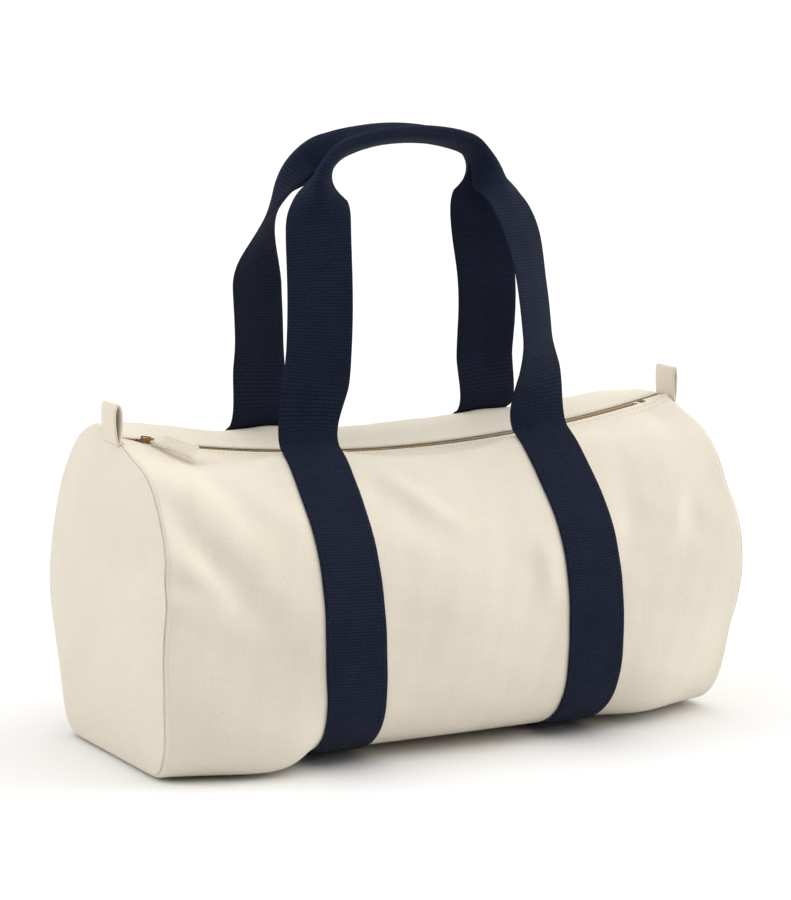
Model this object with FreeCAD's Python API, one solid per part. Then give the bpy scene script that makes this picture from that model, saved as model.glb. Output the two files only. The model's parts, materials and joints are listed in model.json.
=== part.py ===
"""Canvas barrel bag with a sagging zip mouth, wrapped webbing straps and two carry handles.

Units are millimetres. X runs along the barrel, Y from the front (-) to the back (+), Z up.
The origin is under the middle of the bag, on the surface that it stands on.
"""
import FreeCAD, Part
import math
import os

Vector = FreeCAD.Vector

# Barrel of canvas, measured on the outside of the cloth
bag_length = 494.0            # between the two end seams
end_half_width = 108.0        # half of the end panel's width
mid_half_width = 126.0        # half of the width in the middle of the barrel
end_crown_z = 248.5           # top of the end seams
mid_crown_drop = 3.5          # how much lower the middle's top would be with no mouth
end_belly_z = 137.0           # height of the widest point at the ends
mid_belly_z = 92.0            # height of the widest point in the middle
top_roundness = 2.0           # exponent of the upper outline, 2 is an ellipse
end_bottom_roundness = 5.0    # exponent of the lower outline at the ends, more is boxier
mid_bottom_roundness = 3.3    # the same in the middle
canvas_thickness = 1.2
end_panel_dome = 13.0         # how far the end panels swell
end_panel_power = 3.0         # exponent of that swell, more is flatter with steeper rims

# Sagging mouth
mouth_drop = 26.0             # how far the mouth hangs in the middle, below the end seams' tops
mouth_gap = 11.0              # between the two canvas edges
mouth_flat = 15.0             # level width on both sides of the zip together
mouth_slope_width = 32.0      # how fast the canvas rises from the mouth to the shoulders

# Canvas lifted by the standing handles, at the four places where the straps end
lift_height = 9.5
lift_length = 45.0            # along the bag
lift_depth = 22.0             # across the bag

# Clearances
sew_gap = 0.3                 # between sewn layers
seam_gap = 0.2                # between the end panels and the barrel
hinge_gap = 0.3               # between a fold line and what it folds against

# Seam binding inside the ends
binding_width = 10.0
binding_thickness = 1.2

# Webbing straps and handles
webbing_width = 50.0
webbing_thickness = 1.6
strap_spacing = 203.0         # between the middles of the two straps
handle_base_y = 46.0          # fold line of each handle, from the middle of the bag
strap_overlap = 2.0           # how far the straps run past the fold lines
foot_flat = 0.4               # how much of the straps' underside is pressed flat
handle_top_y = 14.5           # middle of each leaning handle's grip, from the middle of the bag
handle_bow = 14.0             # how far a standing handle bows outwards between its base and its grip
handle_leg = 181.0            # straight leg of a handle, seen from the front
handle_top_spacing = 174.0    # between the legs where the bend starts
handle_bend_radius = 46.0     # bend between a leg and the grip
handle_crown_turn = 10.0      # degrees of slope left where the grip starts
twist_start = 40.0            # along a leg, where the webbing starts to turn
twist_end = 235.0             # where it has turned
twist = 66.0                  # degrees that it turns by
fold_start = 177.0            # where it starts to fold lengthwise
fold_end = 217.0              # where it is folded
grip_width = 26.0
grip_thickness = 4.4

# Zip chain
tape_width = 15.0             # from the middle of the zip to the tape's edge
tape_thickness = 0.8
tape_end_margin = 1.0         # from the end seam to the end of the tape
tooth_pitch = 2.6
tooth_root = 1.3
tooth_nose = 0.84
tooth_reach = 0.9             # past the middle of the zip
tooth_depth = 3.0             # from the middle of the zip to the tooth's root
tooth_height = 2.0
tooth_gap = 0.05              # between a tooth's root and its tape
first_tooth_gap = 1.2         # between the slider's wedge and the first tooth
stop_length = 1.4
stop_height = 2.6
bottom_stop_length = 4.0

# Zip slider, in its own frame: x along the zip, z out of the bag
slider_rest_margin = 28.0     # from the end seam to the closed slider, along the zip
slider_front = 6.5
slider_back = 4.5
slider_front_width = 9.6
slider_back_width = 8.2
slider_plate = 1.0
slider_channel = 3.0          # between the two plates
slider_lip = 0.75             # width of the lips along the plates
slider_lip_gap = 1.5          # between the upper and the lower lips
slider_corner = 1.4
post_length = 3.4
post_width = 2.6
crown_length = 8.4
crown_width = 2.0
crown_wall = 0.9
crown_eye = 2.1               # height of the eye over the plate
crown_corner = 1.44
crown_eye_corner = 0.63

# Pull: wire link and canvas tab
wire_diameter = 1.5
link_length = 9.0             # between the middles of the inner and the outer bar
link_bend = 2.0
link_side_gap = 0.6           # between the tab and the link's arms
link_rise = 8.0               # degrees over the zip's own slope
pull_yaw = -57.0              # degrees from the zip's line, towards the front
tab_length = 36.0
tab_width = 12.0
tab_thickness = 2.4
tab_wall = 1.1                # cloth around the link's bar
tab_bore_gap = 0.15
tab_rise = 4.5                # degrees over the zip's own slope

# Canvas loops on the end seams
loop_width = 27.0
loop_height = 23.0
loop_cloth = 1.4
left_loop_gap = 7.0
right_loop_gap = 5.4
loop_side_swell = 0.93        # half way up, as a part of the loop's full half width

TOP_POINTS = 5                # across the top, from the zip to the end of a strap
SHOULDER_POINTS = 2           # the same spacing goes on over the shoulder
SIDE_POINTS = 6               # from the shoulder to the belly
BOTTOM_POINTS = 18            # from belly to belly under the bag
END_POINTS = 40               # round an end panel
HANDLE_STEPS = 24             # along half of a handle
END_STATIONS = 3              # between a strap and the end of the bag
DOME_RINGS = 5                # of an end panel
DOME_FLAT = 0.2               # the part of an end panel's size that is flat
WIRE_SIDES = 10
WIRE_BEND_STEPS = 4

# Sizes worked out from the ones above
half_length = bag_length / 2
slider_rest = slider_rest_margin - half_length
mid_crown_z = end_crown_z - mid_crown_drop
canvas_bottom_z = sew_gap + webbing_thickness - foot_flat
mouth_sag_z = end_crown_z - mouth_drop
mouth_radius = (half_length ** 2 + mouth_drop ** 2) / (2 * mouth_drop)
chain_drop = canvas_thickness + sew_gap + tape_thickness / 2
chain_radius = mouth_radius + chain_drop
chain_centre_z = mouth_sag_z + mouth_radius
strap_offset = sew_gap + webbing_thickness
binding_offset = -(canvas_thickness + sew_gap)


def barrel_sizes(x):
    """Half width, belly height, crown height and lower exponent at x: a quartic swell between the seams."""
    swell = 1 - (x / half_length) ** 4
    half_width = end_half_width + (mid_half_width - end_half_width) * swell
    belly = end_belly_z + (mid_belly_z - end_belly_z) * swell
    crown = end_crown_z + (mid_crown_z - end_crown_z) * swell
    bottom_roundness = end_bottom_roundness + (mid_bottom_roundness - end_bottom_roundness) * swell
    return half_width, belly, crown, bottom_roundness


def mouth_height(x):
    """Canvas height along the mouth: one arc that hangs between the end seams."""
    return chain_centre_z - math.sqrt(mouth_radius ** 2 - x ** 2)


def skin(x, angle):
    """Point (y, z) of the canvas outline at x.

    Two superellipse halves in polar form, less the mouth's valley and with the lift of the handles added.
    """
    half_width, belly, crown, bottom_roundness = barrel_sizes(x)
    c, s = math.cos(angle), math.sin(angle)
    above = s >= 0
    height = crown - belly if above else belly - canvas_bottom_z
    power = top_roundness if above else bottom_roundness
    radius = (abs(c / half_width) ** power + abs(s / height) ** power) ** (-1 / power)
    y, z = radius * c, belly + radius * s
    if above:
        beyond = max(0.0, abs(y) - mouth_flat / 2)
        z -= (crown - mouth_height(x)) * math.exp(-(beyond / mouth_slope_width) ** 2)
        along = (abs(x) - strap_spacing / 2) / lift_length
        across = (abs(y) - handle_base_y) / lift_depth
        z += lift_height * math.exp(-along ** 2 - across ** 2)
    return y, z


def skin_offset(x, angle, offset):
    """The outline's point moved out along its normal."""
    step = 1e-3
    y0, z0 = skin(x, angle - step)
    y1, z1 = skin(x, angle + step)
    y, z = skin(x, angle)
    length = math.hypot(y1 - y0, z1 - z0)
    return y + offset * (z1 - z0) / length, z - offset * (y1 - y0) / length


def block(x0, x1, y0, y1, z0, z1):
    return Part.makeBox(x1 - x0, y1 - y0, z1 - z0, Vector(x0, y0, z0))


def solid_of_rings(rings, loop=False, twisted=False):
    """Solid with flat faces between neighbouring rings of points, in a loop or capped at both ends.

    Where rings turn or swell against each other, four corners aren't level, so a face is two halves that
    meet on its shorter diagonal, which is the same one on two layers that lie on each other.
    """
    faces = []
    for near, far in zip(rings, rings[1:] + (rings[:1] if loop else [])):
        for i, corner in enumerate(near):
            j = (i + 1) % len(near)
            a, b, c, d = corner, near[j], far[j], far[i]
            if not twisted:
                faces.append([a, b, c, d])
            elif a.distanceToPoint(c) < b.distanceToPoint(d):
                faces += [[a, b, c], [a, c, d]]
            else:
                faces += [[a, b, d], [b, c, d]]
    if not loop:
        faces += [rings[0], rings[-1]]
    shell = Part.makeShell([Part.Face(Part.makePolygon(points + points[:1])) for points in faces])
    shell.sewShape()
    solid = Part.makeSolid(shell)
    if solid.Volume < 0:
        solid.reverse()
    return solid


def edge_angle(x, y, offset):
    """Angle of the upper outline, moved out by offset, where it passes y, found by halving."""
    low, high = 0.0, math.pi
    for _ in range(50):
        middle = (low + high) / 2
        if skin_offset(x, middle, offset)[0] > y:
            low = middle
        else:
            high = middle
    return low


# Places across and along the bag where all the sheets have points, so that their facets stay parallel
top_step = (handle_base_y - strap_overlap) / TOP_POINTS
top_places = [top_step * i for i in range(1, TOP_POINTS + SHOULDER_POINTS + 1)]
strap_edges = [strap_spacing / 2 + webbing_width * t for t in (-0.5, 0, 0.5)]
binding_edge = half_length - seam_gap - binding_width
half_stations = [strap_edges[0] / 2] + strap_edges
end_step = (binding_edge - strap_edges[2]) / END_STATIONS
half_stations += [strap_edges[2] + end_step * i for i in range(1, END_STATIONS + 1)]
stations = sorted([-x for x in half_stations] + [0.0] + half_stations)


def angles_between(x, first_y, last_y, round_bottom):
    """Angles of the shared places well between the two edges of a sheet, in the order of the outline."""
    margin = top_step / 5
    near, far = sorted((abs(first_y), abs(last_y)))
    if not round_bottom:
        inside = [math.copysign(y, first_y) for y in top_places if near + margin < y < far - margin]
        return sorted(edge_angle(x, y, 0) for y in inside)
    front = [edge_angle(x, -y, 0) for y in top_places if y > near + margin]
    side_step = (math.pi - front[-1]) / SIDE_POINTS
    front += [front[-1] + side_step * i for i in range(1, SIDE_POINTS)]
    bottom = [math.pi * (1 + i / BOTTOM_POINTS) for i in range(BOTTOM_POINTS + 1)]
    return front + bottom + [3 * math.pi - angle for angle in reversed(front)]


def sheet(start, end, outer, inner, first_y, last_y, round_bottom=True):
    """Cloth that follows the barrel from start to end along x, between two offsets.

    It runs from first_y on top of the bag over the front to last_y, round the bottom or not.
    """
    full_turn = 2 * math.pi if round_bottom else 0.0
    rings = []
    for x in [start] + [x for x in stations if start + 1e-6 < x < end - 1e-6] + [end]:
        between = angles_between(x, first_y, last_y, round_bottom)
        corners = []
        for offset, way in ((outer, 1), (inner, -1)):
            angles = [edge_angle(x, first_y, offset)] + between + [edge_angle(x, last_y, offset) + full_turn]
            corners += [Vector(x, *skin_offset(x, angle, offset)) for angle in angles[::way]]
        rings.append(corners)
    return solid_of_rings(rings, twisted=True)


# Fold line of the handles: clear of the highest webbing under it
fold_offset = strap_offset + hinge_gap + webbing_thickness / 2
handle_fold_z = max(
    skin_offset(x, edge_angle(x, handle_base_y, fold_offset), fold_offset)[1] for x in strap_edges
)


def main_panel():
    """One sheet of canvas from one edge of the mouth, under the bag, to the other edge."""
    return sheet(-half_length, half_length, 0.0, -canvas_thickness, -mouth_gap / 2, mouth_gap / 2)


def end_panel(side):
    """Swollen canvas end: outlines that shrink while the height grows by a power of their size."""
    base = side * (half_length + seam_gap)

    def dome(offset, height):
        rings = []
        for i in range(DOME_RINGS):
            size = 1 - (1 - DOME_FLAT) * (i / (DOME_RINGS - 1)) ** 1.5
            x = base + side * height * (1 - size ** end_panel_power)
            angles = [2 * math.pi * j / END_POINTS for j in range(END_POINTS)]
            places = [skin_offset(half_length, angle, offset) for angle in angles]
            rings.append([Vector(x, y * size, end_belly_z + (z - end_belly_z) * size) for y, z in places])
        return rings
    outside = dome(0.0, end_panel_dome + canvas_thickness)
    inside = dome(-canvas_thickness, end_panel_dome)
    return solid_of_rings(inside[::-1] + outside)


def seam_binding(side):
    """Binding tape over the seam inside the end, open at the top where the zip tape is caught."""
    edges = sorted((side * (half_length - seam_gap), side * (half_length - seam_gap - binding_width)))
    reach = tape_width + sew_gap
    return sheet(*edges, binding_offset, binding_offset - binding_thickness, -reach, reach)


def strap(side):
    """Webbing from just past the front fold line, under the bag, to the rear one, flat where it stands."""
    middle = side * strap_spacing / 2
    reach = handle_base_y - strap_overlap
    band = sheet(middle - webbing_width / 2, middle + webbing_width / 2, strap_offset, sew_gap,
                 -reach, reach)
    return band.cut(Part.makeBox(2 * bag_length, 4 * mid_half_width, webbing_thickness,
                                 Vector(-bag_length, -2 * mid_half_width, -webbing_thickness)))


def handle_path():
    """Half of a handle's middle line as (length, x, height, slope): leg, bend and slightly curved grip."""
    base_x, top_x = -strap_spacing / 2, -handle_top_spacing / 2
    leg_slope = math.acos((top_x - base_x) / handle_leg)
    grip_slope = math.radians(handle_crown_turn)
    bend_x = top_x + handle_bend_radius * math.sin(leg_slope)
    leg_height = handle_leg * math.sin(leg_slope)
    bend_h = leg_height - handle_bend_radius * math.cos(leg_slope)
    grip_x = bend_x - handle_bend_radius * math.sin(grip_slope)
    grip_radius = -grip_x / math.sin(grip_slope)
    bend_length = handle_bend_radius * (leg_slope - grip_slope)
    grip_length = grip_radius * grip_slope

    def at(length):
        if length <= handle_leg:
            share = length / handle_leg
            return base_x + (top_x - base_x) * share, leg_height * share, leg_slope
        if length <= handle_leg + bend_length:
            slope = leg_slope - (length - handle_leg) / handle_bend_radius
            return (bend_x - handle_bend_radius * math.sin(slope),
                    bend_h + handle_bend_radius * math.cos(slope), slope)
        slope = grip_slope - (length - handle_leg - bend_length) / grip_radius
        grip_h = bend_h + handle_bend_radius * math.cos(grip_slope)
        return (-grip_radius * math.sin(slope),
                grip_h + grip_radius * (math.cos(slope) - math.cos(grip_slope)), slope)
    return at, handle_leg + bend_length + grip_length


def ease(t):
    t = min(1.0, max(0.0, t))
    return t * t * (3 - 2 * t)


def handle(face):
    """Free webbing: flat legs that turn outwards and fold lengthwise into the grip."""
    at, half = handle_path()
    lean = math.asin((handle_base_y - handle_top_y) / at(half)[1])
    across = Vector(1, 0, 0)
    upward = Vector(0, -face * math.sin(lean), math.cos(lean))
    outward = Vector(0, face * math.cos(lean), math.sin(lean))
    base = Vector(0, face * handle_base_y, handle_fold_z)

    def section(length, mirror):
        x, height, slope = at(length)
        turn = math.radians(twist) * ease((length - twist_start) / (twist_end - twist_start))
        fold = ease((length - fold_start) / (fold_end - fold_start))
        wide = webbing_width + (grip_width - webbing_width) * fold
        thick = webbing_thickness + (grip_thickness - webbing_thickness) * fold
        phase = math.pi * length / half
        bow_slope = handle_bow * math.pi / half * math.cos(phase)
        along = across * (mirror * math.cos(slope)) + upward * math.sin(slope) + outward * bow_slope
        along.normalize()
        radial = across * (-mirror * math.sin(slope)) + upward * math.cos(slope)
        normal = outward * math.cos(turn) + radial * math.sin(turn)
        normal = (normal - along * normal.dot(along)).normalize()
        side = along.cross(normal) * (wide / 2)
        normal = normal * (thick / 2)
        middle = base + across * (mirror * x) + upward * height + outward * (handle_bow * math.sin(phase))
        left, right = middle + side * mirror, middle - side * mirror
        return [left + normal, right + normal, right - normal, left - normal]

    lengths = [half * i / HANDLE_STEPS for i in range(HANDLE_STEPS + 1)]
    rings = [section(t, 1) for t in lengths] + [section(t, -1) for t in reversed(lengths[:-1])]
    band = solid_of_rings(rings, twisted=True)
    for side in (-1, 1):
        start = Vector(side * strap_spacing / 2 - webbing_width / 2, face * handle_base_y, handle_fold_z)
        band = band.fuse(Part.makeCylinder(webbing_thickness / 2, webbing_width, start, across))
    return band


def on_chain(shape, along):
    """Moves a shape from the zip's own frame to its place on the hanging arc."""
    shape = shape.copy()
    shape.translate(Vector(0, 0, chain_centre_z - chain_radius))
    shape.rotate(Vector(0, 0, chain_centre_z), Vector(0, -1, 0), math.degrees(along / chain_radius))
    return shape


def prism(points, z0, z1):
    """Straight solid over a flat outline."""
    corners = [Vector(x, y, z0) for x, y in points]
    return Part.Face(Part.makePolygon(corners + [corners[0]])).extrude(Vector(0, 0, z1 - z0))


def zip_tape(face):
    """Half of the zip tape, sewn under the edge of the canvas."""
    top = -(canvas_thickness + sew_gap)
    edges = sorted((face * (tooth_depth + tooth_gap), face * tape_width), reverse=True)
    reach = half_length - tape_end_margin
    return sheet(-reach, reach, top, top - tape_thickness, *edges, round_bottom=False)


first_tooth = slider_rest - slider_front + post_length + tooth_root + first_tooth_gap
bottom_stop = -slider_rest + slider_front
tooth_count = int((bottom_stop - bottom_stop_length / 2 - sew_gap - tooth_root - first_tooth) / tooth_pitch)


def zip_teeth(face):
    """One row of teeth that taper towards the noses and stand half a pitch off the other row."""
    outline_points = [
        (-tooth_root / 2, face * tooth_depth), (tooth_root / 2, face * tooth_depth),
        (tooth_nose / 2, -face * tooth_reach), (-tooth_nose / 2, -face * tooth_reach),
    ]
    tooth = prism(outline_points, -tooth_height / 2, tooth_height / 2)
    start = first_tooth + (tooth_pitch / 2 if face > 0 else 0.0)
    return Part.makeCompound([on_chain(tooth, start + tooth_pitch * i) for i in range(tooth_count)])


def zip_top_stops():
    """A stop on each tape, just past the closed slider."""
    along = slider_rest - slider_front - sew_gap - stop_length / 2
    stops = []
    for face in (-1, 1):
        edges = sorted((face * tooth_reach, face * tooth_depth))
        stop = block(-stop_length / 2, stop_length / 2, edges[0], edges[1], -stop_height / 2, stop_height / 2)
        stops.append(on_chain(stop, along))
    return Part.makeCompound(stops)


def zip_bottom_stop():
    """Clamp over both tapes at the far end of the zip."""
    stop = block(-bottom_stop_length / 2, bottom_stop_length / 2, -tooth_depth, tooth_depth,
                 -stop_height / 2, stop_height / 2)
    lengthwise = [e for e in stop.Edges if abs(e.tangentAt(e.FirstParameter).x) > 0.9]
    return on_chain(stop.makeFillet(stop_height / 4, lengthwise), bottom_stop)


def slider_body():
    """Two plates with lips, joined by the wedge that parts the rows of teeth."""
    half_front, half_back = slider_front_width / 2, slider_back_width / 2
    plan = [
        (-slider_front, -half_front), (slider_back, -half_back),
        (slider_back, half_back), (-slider_front, half_front),
    ]
    inner = slider_channel / 2
    outer = inner + slider_plate
    body = prism(plan, -outer, outer)
    upright = [e for e in body.Edges if abs(e.tangentAt(e.FirstParameter).z) > 0.9]
    body = body.makeFillet(slider_corner, upright)
    lip_inset = [(x * 2, y * (1 - slider_lip / half_back)) for x, y in plan]
    body = body.cut(prism(lip_inset, -inner, inner))
    body = body.cut(prism([(x * 2, y * 2) for x, y in plan], -slider_lip_gap / 2, slider_lip_gap / 2))
    tip = -slider_front + sew_gap
    wedge = [
        (tip, 0), (tip + post_length / 2, -post_width / 2),
        (tip + post_length, 0), (tip + post_length / 2, post_width / 2),
    ]
    post = prism(wedge, -inner - slider_plate / 2, inner + slider_plate / 2)
    return on_chain(body.fuse(post), slider_rest)


plate_top = slider_channel / 2 + slider_plate


def slider_crown():
    """Bridge over the slider, with the eye that the link runs through."""
    def rounded_arch(half, top, corner):
        body = block(-half, half, -crown_width / 2, crown_width / 2, plate_top, top)
        crosswise = [e for e in body.Edges if abs(e.tangentAt(e.FirstParameter).y) > 0.9]
        return body.makeFillet(corner, [e for e in crosswise if e.CenterOfMass.z > top - 1e-6])
    outer = rounded_arch(crown_length / 2, plate_top + crown_eye + crown_wall, crown_corner)
    eye = rounded_arch(crown_length / 2 - crown_wall, plate_top + crown_eye, crown_eye_corner)
    return on_chain(outer.cut(eye), slider_rest)


eye_z = plate_top + crown_eye / 2


def pull_frame(length, tilt):
    """Turns a shape drawn along +x in the pull's frame to the link's yaw and tilt, about the eye."""
    def place(shape):
        shape = shape.copy()
        shape.rotate(Vector(0, 0, 0), Vector(0, -1, 0), tilt)
        rise = math.radians(link_rise)
        shape.translate(Vector(length * math.cos(rise), 0, length * math.sin(rise)))
        shape.rotate(Vector(0, 0, 0), Vector(0, 0, 1), pull_yaw)
        shape.translate(Vector(0, 0, eye_z))
        return on_chain(shape, slider_rest)
    return place


def pull_link():
    """Ring of wire, straight bars and round corners: one bar in the slider's eye, the other in the tab."""
    arm = tab_width / 2 + link_side_gap + wire_diameter / 2
    near, far = link_bend, link_length - link_bend
    side = arm - link_bend
    rings = []
    for x, y, start in ((near, -side, 180), (far, -side, 270), (far, side, 360), (near, side, 450)):
        for i in range(WIRE_BEND_STEPS + 1):
            turn = math.radians(start + 90 * i / WIRE_BEND_STEPS)
            outward = Vector(math.cos(turn), math.sin(turn), 0)
            middle = Vector(x, y, 0) + outward * link_bend
            angles = [2 * math.pi * j / WIRE_SIDES for j in range(WIRE_SIDES)]
            across, over = outward * (wire_diameter / 2), Vector(0, 0, wire_diameter / 2)
            rings.append([middle + across * math.cos(a) + over * math.sin(a) for a in angles])
    return pull_frame(0, link_rise)(solid_of_rings(rings, loop=True))


def pull_tab():
    """Canvas strip folded round the link's outer bar and sewn flat."""
    bore = wire_diameter / 2 + tab_bore_gap
    curl = bore + tab_wall
    base = Vector(0, -tab_width / 2, 0)
    tab = block(0, tab_length, -tab_width / 2, tab_width / 2, -tab_thickness / 2, tab_thickness / 2)
    crosswise = [e for e in tab.Edges if abs(e.tangentAt(e.FirstParameter).y) > 0.9]
    tab = tab.makeFillet(tab_thickness / 3, [e for e in crosswise if e.CenterOfMass.x > tab_length - 1e-6])
    tab = tab.fuse(Part.makeCylinder(curl, tab_width, base, Vector(0, 1, 0)))
    tab = tab.cut(Part.makeCylinder(bore, tab_width, base, Vector(0, 1, 0)))
    return pull_frame(link_length, tab_rise)(tab)


loop_root = loop_cloth
loop_axis_z = end_crown_z + hinge_gap + loop_root


def end_loop(side, gap):
    """Folded canvas strip that stands on the end seam, open from front to back."""
    def teardrop(half, foot, bottom, top):
        """Outline from the foot, along swelling sides, to a round top."""
        shoulder = top - half
        swell = (bottom + shoulder) / 2
        side = half * loop_side_swell
        right = Part.Arc(Vector(foot, 0, bottom), Vector(side, 0, swell), Vector(half, 0, shoulder))
        left = Part.Arc(Vector(-half, 0, shoulder), Vector(-side, 0, swell), Vector(-foot, 0, bottom))
        crest = Part.Arc(Vector(half, 0, shoulder), Vector(0, 0, top), Vector(-half, 0, shoulder))
        root = Part.Arc(Vector(-foot, 0, bottom), Vector(0, 0, bottom - foot), Vector(foot, 0, bottom))
        return Part.Face(Part.Wire([e.toShape() for e in (right, crest, left, root)]))
    top = loop_height - hinge_gap - loop_root
    strip = teardrop(gap / 2 + loop_cloth, loop_root, 0, top)
    eye = teardrop(gap / 2, loop_cloth / 4, loop_root + loop_cloth, top - loop_cloth)
    solid = strip.cut(eye).extrude(Vector(0, loop_width, 0))
    solid.translate(Vector(side * (half_length + seam_gap / 2), -loop_width / 2, loop_axis_z))
    return solid


def save(name, shape):
    shape.exportStep(os.path.join("parts", name + ".step"))
    solids = shape.Solids
    print(f"{name}: {len(solids)} solid(s), valid {shape.isValid()}, {sum(s.Volume for s in solids):.0f} mm3")


def build():
    os.makedirs("parts", exist_ok=True)
    save("main_panel", main_panel())
    for name, side, gap in (("left", -1, left_loop_gap), ("right", 1, right_loop_gap)):
        save(f"{name}_end_panel", end_panel(side))
        save(f"{name}_seam_binding", seam_binding(side))
        save(f"{name}_strap", strap(side))
        save(f"{name}_end_loop", end_loop(side, gap))
    for name, face in (("front", -1), ("rear", 1)):
        save(f"{name}_handle", handle(face))
        save(f"{name}_zip_tape", zip_tape(face))
        save(f"{name}_zip_teeth", zip_teeth(face))
    save("zip_top_stops", zip_top_stops())
    save("zip_bottom_stop", zip_bottom_stop())
    save("slider_body", slider_body())
    save("slider_crown", slider_crown())
    save("pull_link", pull_link())
    save("pull_tab", pull_tab())
    print(f"handle fold line z {handle_fold_z:.3f}")
    print(f"zip arc centre z {chain_centre_z:.3f}, radius {chain_radius:.3f}")


build()
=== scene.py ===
"""Looks of a canvas barrel bag with webbing handles and a brass zip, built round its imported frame."""
import json
import math
from collections import namedtuple

import bmesh
import bpy
import numpy as np
from bpy.props import FloatProperty, FloatVectorProperty, PointerProperty
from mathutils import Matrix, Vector


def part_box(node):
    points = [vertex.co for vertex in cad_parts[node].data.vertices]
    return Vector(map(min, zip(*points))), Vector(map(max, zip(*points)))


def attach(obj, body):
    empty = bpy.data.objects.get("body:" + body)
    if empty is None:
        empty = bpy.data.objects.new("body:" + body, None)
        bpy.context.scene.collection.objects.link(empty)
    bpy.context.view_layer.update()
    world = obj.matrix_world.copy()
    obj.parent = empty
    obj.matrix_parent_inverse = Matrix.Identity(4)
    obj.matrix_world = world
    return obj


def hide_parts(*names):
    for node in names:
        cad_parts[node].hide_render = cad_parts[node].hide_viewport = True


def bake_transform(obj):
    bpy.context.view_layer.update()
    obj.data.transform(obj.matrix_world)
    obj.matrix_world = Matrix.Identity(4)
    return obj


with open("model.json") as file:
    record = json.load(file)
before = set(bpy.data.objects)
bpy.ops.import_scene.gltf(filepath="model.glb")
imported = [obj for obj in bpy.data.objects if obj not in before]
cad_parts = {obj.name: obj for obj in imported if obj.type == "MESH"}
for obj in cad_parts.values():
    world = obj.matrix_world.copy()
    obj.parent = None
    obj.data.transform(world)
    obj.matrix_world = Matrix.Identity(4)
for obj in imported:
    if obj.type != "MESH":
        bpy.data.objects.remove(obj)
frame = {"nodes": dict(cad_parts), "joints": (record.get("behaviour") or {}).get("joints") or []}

bl_info = {
    "name": "Canvas barrel bag",
    "version": (1, 0, 0),
    "blender": (4, 5, 0),
    "location": "3D View > Sidebar > Bag",
    "description": "Dresses the frame of a barrel bag in canvas, webbing, thread and brass",
    "category": "Add Mesh",
}

MM = 0.001
FULL_TURN = 2 * math.pi
BOTTOM = 1.5 * math.pi         # angle of the outline's lowest place, counted from the rear over the top
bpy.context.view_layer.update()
JOINTS = {joint["name"]: joint for joint in frame["joints"]}
SIDES = ((-1, "left"), (1, "right"))
FACES = ((-1, "front"), (1, "rear"))

# Sizes of the frame
panel_low, panel_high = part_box("main_panel")
end_low, end_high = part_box("right_end_panel")
strap_low, strap_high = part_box("right_strap")
HALF_LENGTH = panel_high.x
MID_HALF_WIDTH = panel_high.y
CANVAS_BOTTOM = panel_low.z
END_HALF_WIDTH = end_high.y
END_CROWN = end_high.z
END_SWELL = end_high.x - end_low.x
STRAP_X = (strap_low.x + strap_high.x) / 2
WEBBING_WIDTH = strap_high.x - strap_low.x
FOLD_Y, FOLD_Z = JOINTS["rear_handle_fold"]["pos_m"][1:]
ZIP_CENTRE = JOINTS["zip_slide"]["pos_m"][2]

# Shape of the canvas barrel, with pairs as start and run of a rise or as middle and width of a bell curve
MID_CROWN = 245 * MM           # top of the outline half-way along the bag, before the mouth is let in
END_BELLY = 137 * MM           # height of the widest place at the end seams
MID_BELLY = 92 * MM            # the same half-way along
LEFT_BOTTOM_POWER = 12.0       # squareness of the lower outline near each end and half-way along
RIGHT_BOTTOM_POWER = 4.6
MID_BOTTOM_POWER = 3.3
BOXY = (22 * MM, 60 * MM)      # beyond the middle of a strap, where the lower outline squares up
TOP_POWER = 2.0                # squareness of the upper outline, and what each end adds to it
LEFT_TOP_EXTRA = 0.45
RIGHT_TOP_EXTRA = 0.05
END_START = 145 * MM           # from the middle of the bag, where the form of the ends begins
BULGE = (125 * MM, 45 * MM)    # heights at which the sides bulge near the ends, and by what share
LEFT_BULGE = 0.045
RIGHT_BULGE = 0.02
FRONT_TAPER = 0.17             # share by which the sides draw in to the floor near the ends
REAR_TAPER = 0.12
TAPER_POWER = 1.5
SEAM_BOW = (110 * MM, 80 * MM)      # heights at which the end seams bow out, less an even share of the bow
SEAM_BOW_LESS = 0.33
SEAM_BOW_POWER = 6
END_POWER = 3.0                # roundness of the swollen end panels
SEAM_GAP = 0.3 * MM

# Mouth of the bag and the lifts of the canvas under the handles
MOUTH_SAG = 222.5 * MM
MOUTH_RADIUS = ZIP_CENTRE - MOUTH_SAG
MOUTH_HALF_GAP = 5.5 * MM
MOUTH_HALF_FLAT = 7.5 * MM
MOUTH_SLOPE = 32 * MM
LIFT_HEIGHT = 9.5 * MM
LIFT_LENGTH = 45 * MM
LIFT_DEPTH = 22 * MM

# Ridge behind the zip, corner beside the left seam and slack in front of the zip
RIDGE_ACROSS = (48 * MM, 26 * MM)
RIDGE_GROWTH = (0.0, 70 * MM)       # beyond the middle of a strap, from half to full height
RIDGE_FADE = (215 * MM, 32 * MM)    # towards the ends, where it loses a share
RIDGE_LOSS = 0.35
CORNER_SHARE = 0.45                 # of the ridge's height
CORNER_LENGTH = 40 * MM
CORNER_ACROSS = (25 * MM, 18 * MM)
SLACK_STEPS = ((0.55, (3.2 * MM, 3 * MM)), (0.45, (6 * MM, 20 * MM)))    # shares of the slack, from the zip
SLACK_FADE = (30 * MM, 60 * MM)
SLACK_END = (218 * MM, 29 * MM)
END_SLACK = (                       # share of the slack, along the bag and across it
    (1.1, (-240 * MM, 60 * MM), (-45 * MM, 28 * MM)),
    (0.9, (240 * MM, 45 * MM), (-32 * MM, 26 * MM)),
)
ZIP_CALM = (4 * MM, 14 * MM)

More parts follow.
